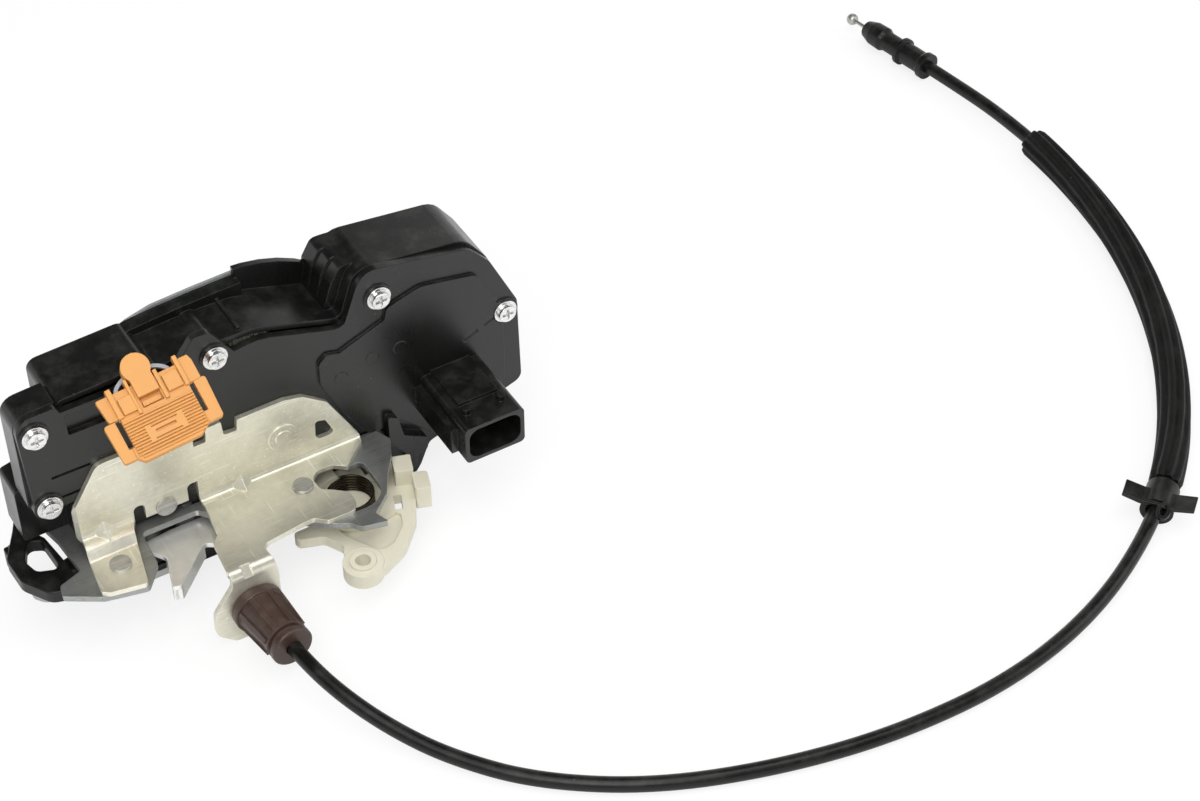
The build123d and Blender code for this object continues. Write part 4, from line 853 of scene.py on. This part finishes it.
def front_cover():
    """Cover plate with its raised field, slots, screw seats, connector and lever seat."""
    edge = outline((-76, 31, 1), (-76, 53, 1), (-90.5, 53, 3), (-92, 96.5, 6), (-77, 97, 2),
                   (-76, 94, 1), (-42, 94, 2), (-40, 92, 1), (-36.5, 92, 1), (-27, 104, 3),
                   (-21, 104, 3), (-13, 91.5, 1), (DRUM_X, 93, 30), (24, 84, 4), (28, 84, 3),
                   (36, 105, 8), (78, 97, 9), (86, 87.5, 3), (96.5, 65, 4), (97.5, 26, 4),
                   (58, 12.5, 3), (54, 3, 2), (52, 0, 0), (-36, 0, 0), (-36, 31, 0))
    plate = prism(edge, COVER_FRONT, COVER_BACK, "y")
    raised = outline((31.2, 33, 2), (27.2, 39.5, 2), (18.8, 56.8, 2), (16.6, 62, 2), (16.6, 72, 3),
                     (20, 75, 2), (25, 73.5, 1), (43, 80.5, 2), (44, 85.5, 2), (58, 89.5, 8),
                     (80, 85, 4), (88.5, 66, 3), (90, 55, 3), (90, 30, 3), (62, 15, 2), (46, 31, 3),
                     (40, 30.8, 2), (35.5, 28.8, 2))
    plate += prism(raised, COVER_FRONT - RAISED_T, COVER_FRONT + 0.5, "y")
    cuts = [block(-83, -69, COVER_FRONT - 1, COVER_FRONT + 1, z - 0.6, z + 0.6) for z in GROOVES]
    for x, z in SLANTED_SLOTS:
        slot = block(-3.25, 3.25, COVER_FRONT - 3, COVER_FRONT - 0.9, -1, 1)
        cuts.append(leaned(slot, (x, 0, z), SLOT_LEAN, "Y"))
    recess = outline((-74.5, 83, 1), (-74.5, 92.5, 1), (-58, 92.5, 1), (-58, 83, 1))
    plate -= together(*cuts, prism(recess, COVER_FRONT - 1, COVER_BACK - RECESS_FLOOR, "y"))
    marks = [bar_y(x, z, COVER_FRONT - 1.55, COVER_FRONT, MARK_R) for x, z in MARKS]
    foot = outline((40, 37, 1), (44, 34.8, 1), (46, 25, 1), (55.5, 19.3, 1), (55.3, 13.4, 2),
                   (50.8, 13, 0.5), (50.8, 7, 0.5), (48, 7, 0.5), (47.5, 14, 1), (40, 24, 2))
    plate += together(*marks, prism(foot, COVER_FRONT - 4, COVER_FRONT + 1, "y"))
    seat = COVER_FRONT - 0.6
    plate += at_screws(seat, COVER_BACK, SCREW_HEAD_R + 0.8)
    plate -= at_screws(COVER_FRONT - 4, seat, SCREW_HEAD_R + 0.3)
    plate -= at_screws(COVER_FRONT - 5, COVER_BACK + 1, SCREW_R + 0.2)
    plate += shroud()
    plate += lever_seat()
    return plate - socket_room()


def shroud():
    """Connector shroud with its root block and side ribs."""
    low, high = SOCKET_Z - SOCKET_H / 2, SOCKET_Z + SOCKET_H / 2
    left, right = SOCKET_X - SOCKET_W / 2, SOCKET_X + SOCKET_W / 2
    front = COVER_FRONT - SOCKET_REACH
    box = outline((left, low, 2), (left, high, 2), (right, high, 2), (right, low, 2))
    body = prism(box, front, COVER_BACK, "y")
    body += block(left - 2.5, left + 0.5, front + 6, COVER_FRONT + 1, low + 1.5, high - 4)
    body += block(left + 4, right - 4, front + 12, COVER_FRONT + 1, high - 0.5, high + 1.2)
    pips = [peg(x, front + 8, high - 0.5, high + 2.4, 1.6) for x in (left + 5, right - 5)]
    return body + together(*pips)


def socket_room():
    """Stadium-ended room inside the shroud."""
    front = COVER_FRONT - SOCKET_REACH
    across, up = SOCKET_W / 2 - SOCKET_WALL, SOCKET_H / 2 - SOCKET_WALL
    corners = [(SOCKET_X + sx * across, SOCKET_Z + sz * up, up * 0.62)
               for sx, sz in ((-1, -1), (1, -1), (1, 1), (-1, 1))]
    return prism(outline(*corners), front - 1, front + SOCKET_DEPTH, "y")


def main_housing():
    """Rear shell: plain drum wall, a flange behind it and a stepped flank to the drive's box."""
    body = prism(outline(*REAR_EDGE), COVER_BACK, HOUSING_BACK, "y")
    corner = outline((-92, 54, 2), (-92, 96, 6), (-76.5, 97, 0), (-76.5, 54, 0))
    rear = outline((-93.5, 30.3, 1), (-93.5, 54, 2), (-76.5, 58, 0), (-76.5, 30.3, 0))
    body += prism(corner, COVER_BACK, 16, "y")
    body += prism(rear, 15, HOUSING_BACK, "y")
    inner_back = HOUSING_BACK - WALL
    flange = bar_y(DRUM_X, DRUM_Z, inner_back, HOUSING_BACK, FLANGE_R)
    flange -= bar_y(DRUM_X, DRUM_Z, 0, 60, FLANGE_ROOT_R)
    body += flange & block(-0.5, 26.5, 0, 60, 73, 113)
    wall = outline((-44, 90, 0), (-43, 97.6, 2), (-31, 98.8, 4), (-16, 99.8, 3), (0.5, 100.4, 0),
                   (0.5, 90, 0))
    body += prism(wall, 23.5, HOUSING_BACK, "y")
    body += block(-9.6, -8.4, 6.5, HOUSING_BACK, 86, 97.4)
    for step in (1, 2, 3):
        flank = outline((24, 86, 0), (28.5 - 0.8 * step, 97, 2), (33 - step, 103.5, 3),
                        (38, 103, 0), (38, 86, 0))
        body += prism(flank, 4 + 6 * step, HOUSING_BACK, "y")
    body -= prism(outline(*inset(REAR_EDGE, WALL)), COVER_BACK - 1, inner_back, "y")
    bosses = []
    for x, z in SCREW_SPOTS:
        back = inner_back + 0.1 if x > REAR_EDGE[0][0] else SCREW_BOSS_BACK
        bosses.append(bar_y(x, z, COVER_BACK, back, SCREW_R + 2.2))
    return (body + together(*bosses)) - at_screws(COVER_BACK - 1, 16, SCREW_R)


def rear_highlight_strip():
    """Light grey strip that stands a little above the rear wall: a painted highlight of the
    housing's rounded rear edge, made as a thin piece.
    """
    strip = outline((-42, 93.5, 0), (-41.5, 97.2, 2), (-31, 100.0, 4), (-16, 101.0, 3),
                    (0.5, 101.6, 0.5), (0.5, 97.5, 0))
    return prism(strip, HOUSING_BACK + 0.02, HOUSING_BACK + 1.0, "y")


dressed("cover_plate", front_cover(), "front_cover", 0.4)
dressed("rear_shell", main_housing(), "main_housing", 0.5)
# painted highlight: the light grey strip on the rear wall's top edge stands for the shine of its
# rounded corner
dressed("rear_highlight_strip", rear_highlight_strip(), "main_housing", 0.2, "seal_foam")


# ---------------------------------------------------------------- retainer
RETAINER_PLACE = (-47.3, -16.0, 92.5)
RETAINER_LEAN, RETAINER_ROLL = radians(60), radians(6)    # laid back from upright, and turned
RETAINER_T = 3.0
KNOB_X, KNOB_UP, KNOB_R = -0.8, 18.4, 5.0
RIB_PITCH, RIB_COUNT, RIB_HALF, RIB_UP = 1.08, 13, 0.29, 0.65


def retainer_frame():
    """The retainer's own frame: X across it, Y up its slope."""
    across = Vector((cos(RETAINER_ROLL), 0, sin(RETAINER_ROLL)))
    out = Vector((0, -cos(RETAINER_LEAN), sin(RETAINER_LEAN)))
    out = (out - across * out.dot(across)).normalized()
    turn = Matrix((across, out.cross(across), out)).transposed().to_4x4()
    return Matrix.Translation(RETAINER_PLACE) @ turn


def orange_retainer():
    """Slip-on retainer that leans out of the cover: ribbed body, side tabs, pads and knob."""
    top = RETAINER_T
    slab = outline((-14, -9.2, 0.5), (-12, -11.4, 1), (8.5, -11.4, 1), (12.2, -8.8, 0.5),
                   (13, 5, 0), (13, 13.8, 1), (-13, 13.8, 1), (-13.5, 5, 0))
    body = prism(slab, 0, top)
    left_tab = outline((-19.1, 5.1, 1), (-15, 5.1, 0.3), (-15, -5.4, 0), (-12.6, -5.4, 0),
                       (-12.6, -9.3, 0), (-18.5, -9.3, 1))
    right_tab = outline((18.5, 6.5, 1), (14.2, 6.5, 0.3), (14.2, -4.6, 0), (11.8, -4.6, 0),
                        (11.8, -8.7, 0), (17.8, -8.7, 1))
    body -= together(block(-15, -13, -5.4, 5.1, -1, top + 1),
                     block(12.3, 14.2, -4.6, 6, -1, top + 1))
    body += together(prism(left_tab, 0, top - 0.7), prism(right_tab, 0, top - 0.7))
    left_ear = outline((-17.6, 14, 0.5), (-12, 14, 0), (-12, 5.3, 0), (-16.7, 5.3, 0.5))
    right_ear = outline((12, 15.4, 0), (16.4, 15.4, 0.6), (17.1, 13.2, 0.6), (17.1, 6.4, 0.5),
                        (12, 6.2, 0))
    body += together(prism(left_ear, 0, top - 0.5), prism(right_ear, 0, top - 0.5))
    rails = ((-12.6, 1.8, 4.8, 15.6), (-6.1, 1.1, 3.6, 16.3), (4.2, 1.3, 4.6, 15.2),
             (12, 1.5, 5.6, 16.6))
    body += together(*[block(x - wide / 2, x + wide / 2, low, high, 0, top + 1)
                       for x, wide, low, high in rails])
    body += together(block(-11.2, -6.6, 5.2, 11, 0, top + 1.3),
                     block(5.4, 10.7, 6.2, 12.2, 0, top + 1.3),
                     block(-4.6, 3, 8.6, 15, 0, top + 1.6))
    body -= block(-4.5, 3, 5, 8.6, top - 1.6, top + 1)
    body += block(-4, 2.6, 5.6, 7.4, top - 1.7, top - 0.6)
    ribs = []
    for i in range(RIB_COUNT):
        y = 3 - i * RIB_PITCH
        shrink = max(0, -y - 8.8)
        ribs.append(block(-13.2 + shrink, 12.2 - shrink, y - RIB_HALF, y + RIB_HALF, top - 0.1,
                          top + RIB_UP))
    body += together(*ribs)
    for x0, x1, y0, y1 in ((-7.4, 6, -5.4, -2), (-7.4, -5.4, -6.6, -0.8), (4, 6, -6.6, -0.8)):
        body += block(x0, x1, y0, y1, top - 0.1, top + 0.66)
    body -= block(-4.4, 2.8, -4.2, -3.3, top - 0.3, top + 1)
    body += peg(KNOB_X, KNOB_UP, 0, top + 1.6, KNOB_R)
    flank = outline((-19.5, 89.5, 1), (-18.5, 91.2, 0), (-9.5, 96.4, 0), (COVER_FRONT, 93, 1),
                    (COVER_FRONT, 84.5, 1), (-11, 84.5, 3))
    foot = prism(flank, RETAINER_PLACE[0] - 9, RETAINER_PLACE[0] + 9, "x")
    return body.turned(retainer_frame()) + foot


def knob_tether():
    """Grey loop that ties the knob to the retainer, round the back."""
    loop = prism(ring_line(0, 0, 10.6, 6), 0, 1.4) - prism(ring_line(0, 0, 9.2, 4.6), -1, 2)
    loop = loop & block(-12, 12, -0.9, 9, -1, 2)
    loop += block(-10.3, 10.3, -0.9, 0.5, 0, 1.4)
    return loop.turned(retainer_frame() @ Matrix.Translation((-0.3, 13.2, -1.4)))


dressed("ribbed_retainer", orange_retainer(), "orange_retainer", 0.08)
dressed("tether_loop", knob_tether(), "knob_tether", 0.15)


# ---------------------------------------------------------------- cable
# points of the cable's route, given one by one, in millimetres of the part's own frame
ROUTE = [
    (-29.2, -34.2, 14.0), (-27.6, -53.0, 14.0), (-22.5, -71.0, 10.8), (-13.5, -89.0, 6.3),
    (-1.5, -108.0, 3.5), (18.0, -131.0, 2.9), (50.0, -153.0, 2.9), (90.0, -168.0, 2.9),
    (133.0, -176.8, 2.9), (180.0, -178.2, 3.2), (224.0, -169.0, 4.6), (264.0, -149.5, 6.6),
    (297.0, -123.5, 6.6), (323.5, -91.5, 6.6), (344.5, -55.0, 6.6), (359.0, -14.0, 6.6),
    (366.6, 30.0, 6.6), (366.8, 72.0, 6.4), (363.2, 101.0, 6.2), (359.8, 121.5, 6.2),
]
CONDUIT_R = 2.8
SLEEVE_R = 6.5
SLEEVE_FROM = (280.5, -136.5, 6.6)
SLEEVE_TO = (366.7, 51.0, 6.5)
SLEEVE_FLUTES = 9
SLEEVE_RINGS, SLEEVE_AROUND, SLEEVE_SHARP = 90, 72, 50
SLEEVE_ROOT, SLEEVE_RIDGE = 0.80, 0.19       # of the radius
SLEEVE_END, SLEEVE_END_SHARE = 0.0012, 0.9   # metres that the ends draw in over, and to what
SLEEVE_TURN = radians(70)    # the flutes wind this far round from end to end


def cable_run():
    """The conduit: one smooth spline through the route, as a round tube."""
    curve = bpy.data.curves.new("conduit", "CURVE")
    curve.dimensions = "3D"
    curve.resolution_u = 10
    spline = curve.splines.new("NURBS")
    spline.points.add(len(ROUTE) - 1)
    for point, place in zip(spline.points, ROUTE):
        point.co = (place[0] * MM, place[1] * MM, place[2] * MM, 1.0)
    spline.order_u = 3
    spline.use_endpoint_u = True
    return scene_object("conduit", curve)


def cable_line(obj):
    """Points along the bare spline, with the length of cable before each."""
    mesh = bpy.data.meshes.new_from_object(obj)
    points = [vertex.co.copy() for vertex in mesh.vertices]
    bpy.data.meshes.remove(mesh)
    lengths = [0.0]
    for before, after in zip(points, points[1:]):
        lengths.append(lengths[-1] + (after - before).length)
    return points, lengths


def place_on_line(line, length):
    """Point of the line after that length of cable, and the way the cable runs there."""
    points, lengths = line
    for i in range(len(points) - 1):
        if lengths[i + 1] >= length:
            share = (length - lengths[i]) / (lengths[i + 1] - lengths[i])
            return points[i].lerp(points[i + 1], share), (points[i + 1] - points[i]).normalized()
    return points[-1], (points[-1] - points[-2]).normalized()


def length_at(line, place):
    """Length of cable before the point of the line nearest to the place, in millimetres."""
    points, lengths = line
    target = Vector(place) * MM
    nearest = min(range(len(points)), key=lambda i: (points[i] - target).length)
    return lengths[nearest]


def swept(name, line, start, end, rings, around, radius_at):
    """Closed skin along a stretch of the line; radius_at(share along, angle) gives its outline."""
    bm = bmesh.new()
    rows = []
    for i in range(rings + 1):
        share = i / rings
        centre, way = place_on_line(line, start + (end - start) * share)
        across = way.cross(Vector((0, 0, 1))).normalized()
        up = across.cross(way)
        row = []
        for k in range(around):
            angle = 2 * pi * k / around
            out = across * cos(angle) + up * sin(angle)
            row.append(bm.verts.new(centre + out * radius_at(share, angle)))
        rows.append(row)
    for first, second in zip(rows, rows[1:]):
        for k in range(around):
            after = (k + 1) % around
            bm.faces.new((first[k], first[after], second[after], second[k]))
    bm.faces.new(rows[0][::-1])
    bm.faces.new(rows[-1])
    bmesh.ops.recalc_face_normals(bm, faces=bm.faces)
    return scene_object(name, mesh_of(bm, name))


def fluted_sleeve(line):
    """Foam sleeve with ridges along it, a little ragged at its ends."""
    start, end = length_at(line, SLEEVE_FROM), length_at(line, SLEEVE_TO)

    def radius_at(share, angle):
        ridge = 0.5 + 0.5 * cos(SLEEVE_FLUTES * (angle + SLEEVE_TURN * share))
        crown = ridge ** 0.6
        from_end = min(share, 1 - share) * (end - start) / SLEEVE_END
        taper = SLEEVE_END_SHARE + (1 - SLEEVE_END_SHARE) * min(1.0, from_end)
        return SLEEVE_R * MM * (SLEEVE_ROOT + SLEEVE_RIDGE * crown) * taper
    obj = swept("fluted_sleeve", line, start, end, SLEEVE_RINGS, SLEEVE_AROUND, radius_at)
    smooth(obj.data, SLEEVE_SHARP)
    return finish_object(obj, "latch", "sleeve_plastic", "cable_sleeve")


conduit = cable_run()
line = cable_line(conduit)
conduit.data.bevel_depth = CONDUIT_R * MM
conduit.data.bevel_resolution = 6
conduit.data.use_fill_caps = True
finish_object(conduit, "latch", "conduit_plastic", "cable_conduit")
sleeve = fluted_sleeve(line)


# ---------------------------------------------------------------- stage, light and camera
FLOOR_SIZE, FLOOR_LEVEL = 12.0, -0.0003
FLOOR_TONE, FLOOR_GLOW = 0.93, 0.8
WORLD_LIGHT, OVERHEAD = 0.5, 0.05
CAMERA_PLACE = (-0.24008, -0.59808, 0.68858)
CAMERA_BEARING, CAMERA_HEIGHT = -31.2, 43.8
CAMERA_LENS, CAMERA_SENSOR = 78.0, 36.0
LIGHTS = (    # name, place, target, size, power
    ("key", (-0.6, -0.8, 1.2), (0.0, 0.0, 0.03), (0.9, 0.9), 12.0),
    ("top", (0.1, -0.3, 1.5), (0.1, 0.0, 0.0), (1.2, 0.8), 8.0),
    ("fill", (1.2, -0.6, 0.8), (0.0, 0.0, 0.05), (0.8, 0.8), 4.0),
    ("back_right", (0.85, 0.75, 0.75), (0.08, 0.0, 0.06), (0.5, 0.6), 0.8),
)


def backdrop():
    """Pale floor that reads white to the camera and keeps the shadow."""
    bpy.ops.mesh.primitive_plane_add(size=FLOOR_SIZE, location=(0, 0, FLOOR_LEVEL))
    floor = bpy.context.object
    floor.name = "floor"
    material, t, shader = new_material("floor_white", Roughness=0.85)
    shader.inputs["Base Color"].default_value = rgb(*[FLOOR_TONE] * 3)
    glow = t.add("ShaderNodeEmission", Strength=1.0)
    glow.inputs["Color"].default_value = rgb(1.0, 1.0, 1.0)
    path = t.add("ShaderNodeLightPath")
    seen = t.math("MULTIPLY", path.outputs["Is Camera Ray"], FLOOR_GLOW)
    output = material.node_tree.nodes["Material Output"]
    t.show_mix(seen, shader.outputs[0], glow.outputs[0], output)
    floor.data.materials.append(material)


def area_light(name, place, target, size, power):
    lamp = bpy.data.lights.new(name, "AREA")
    lamp.shape = "RECTANGLE"
    lamp.size, lamp.size_y = size
    lamp.energy = power
    obj = scene_object(name, lamp)
    obj.location = place
    obj.rotation_euler = (Vector(target) - Vector(place)).to_track_quat("-Z", "Y").to_euler()


def world():
    """Even grey light, seen white at the horizon and greyer overhead."""
    scene_world = bpy.data.worlds.new("studio")
    bpy.context.scene.world = scene_world
    scene_world.use_nodes = True
    t = Tree(scene_world.node_tree)
    background = scene_world.node_tree.nodes["Background"]
    background.inputs["Color"].default_value = rgb(1.0, 1.0, 1.0)
    background.inputs["Strength"].default_value = WORLD_LIGHT
    split = t.add("ShaderNodeSeparateXYZ")
    t.link(t.add("ShaderNodeTexCoord").outputs["Generated"], split.inputs[0])
    overhead = t.span(split.outputs["Z"], 0.10, 0.45)
    bright = t.add("ShaderNodeBackground", Strength=1.0)
    t.link(t.mix(overhead, rgb(1.0, 1.0, 1.0), rgb(*[OVERHEAD] * 3)), bright.inputs["Color"])
    path = t.add("ShaderNodeLightPath")
    shown = t.math("MAXIMUM", path.outputs["Is Camera Ray"], path.outputs["Is Glossy Ray"])
    shown = t.math("MAXIMUM", shown, path.outputs["Is Transmission Ray"])
    output = scene_world.node_tree.nodes["World Output"]
    t.show_mix(shown, background.outputs[0], bright.outputs[0], output)


def camera():
    data = bpy.data.cameras.new("camera")
    data.sensor_width = CAMERA_SENSOR
    data.lens = CAMERA_LENS
    data.clip_start = 0.01
    obj = scene_object("camera", data)
    bearing, height = radians(CAMERA_BEARING), radians(CAMERA_HEIGHT)
    back = Vector((sin(bearing) * cos(height), -cos(bearing) * cos(height), sin(height)))
    obj.location = CAMERA_PLACE
    obj.rotation_euler = back.to_track_quat("Z", "Y").to_euler()
    bpy.context.scene.camera = obj


backdrop()
world()
for light in LIGHTS:
    area_light(*light)
camera()
bpy.context.scene.view_settings.view_transform = "Standard"
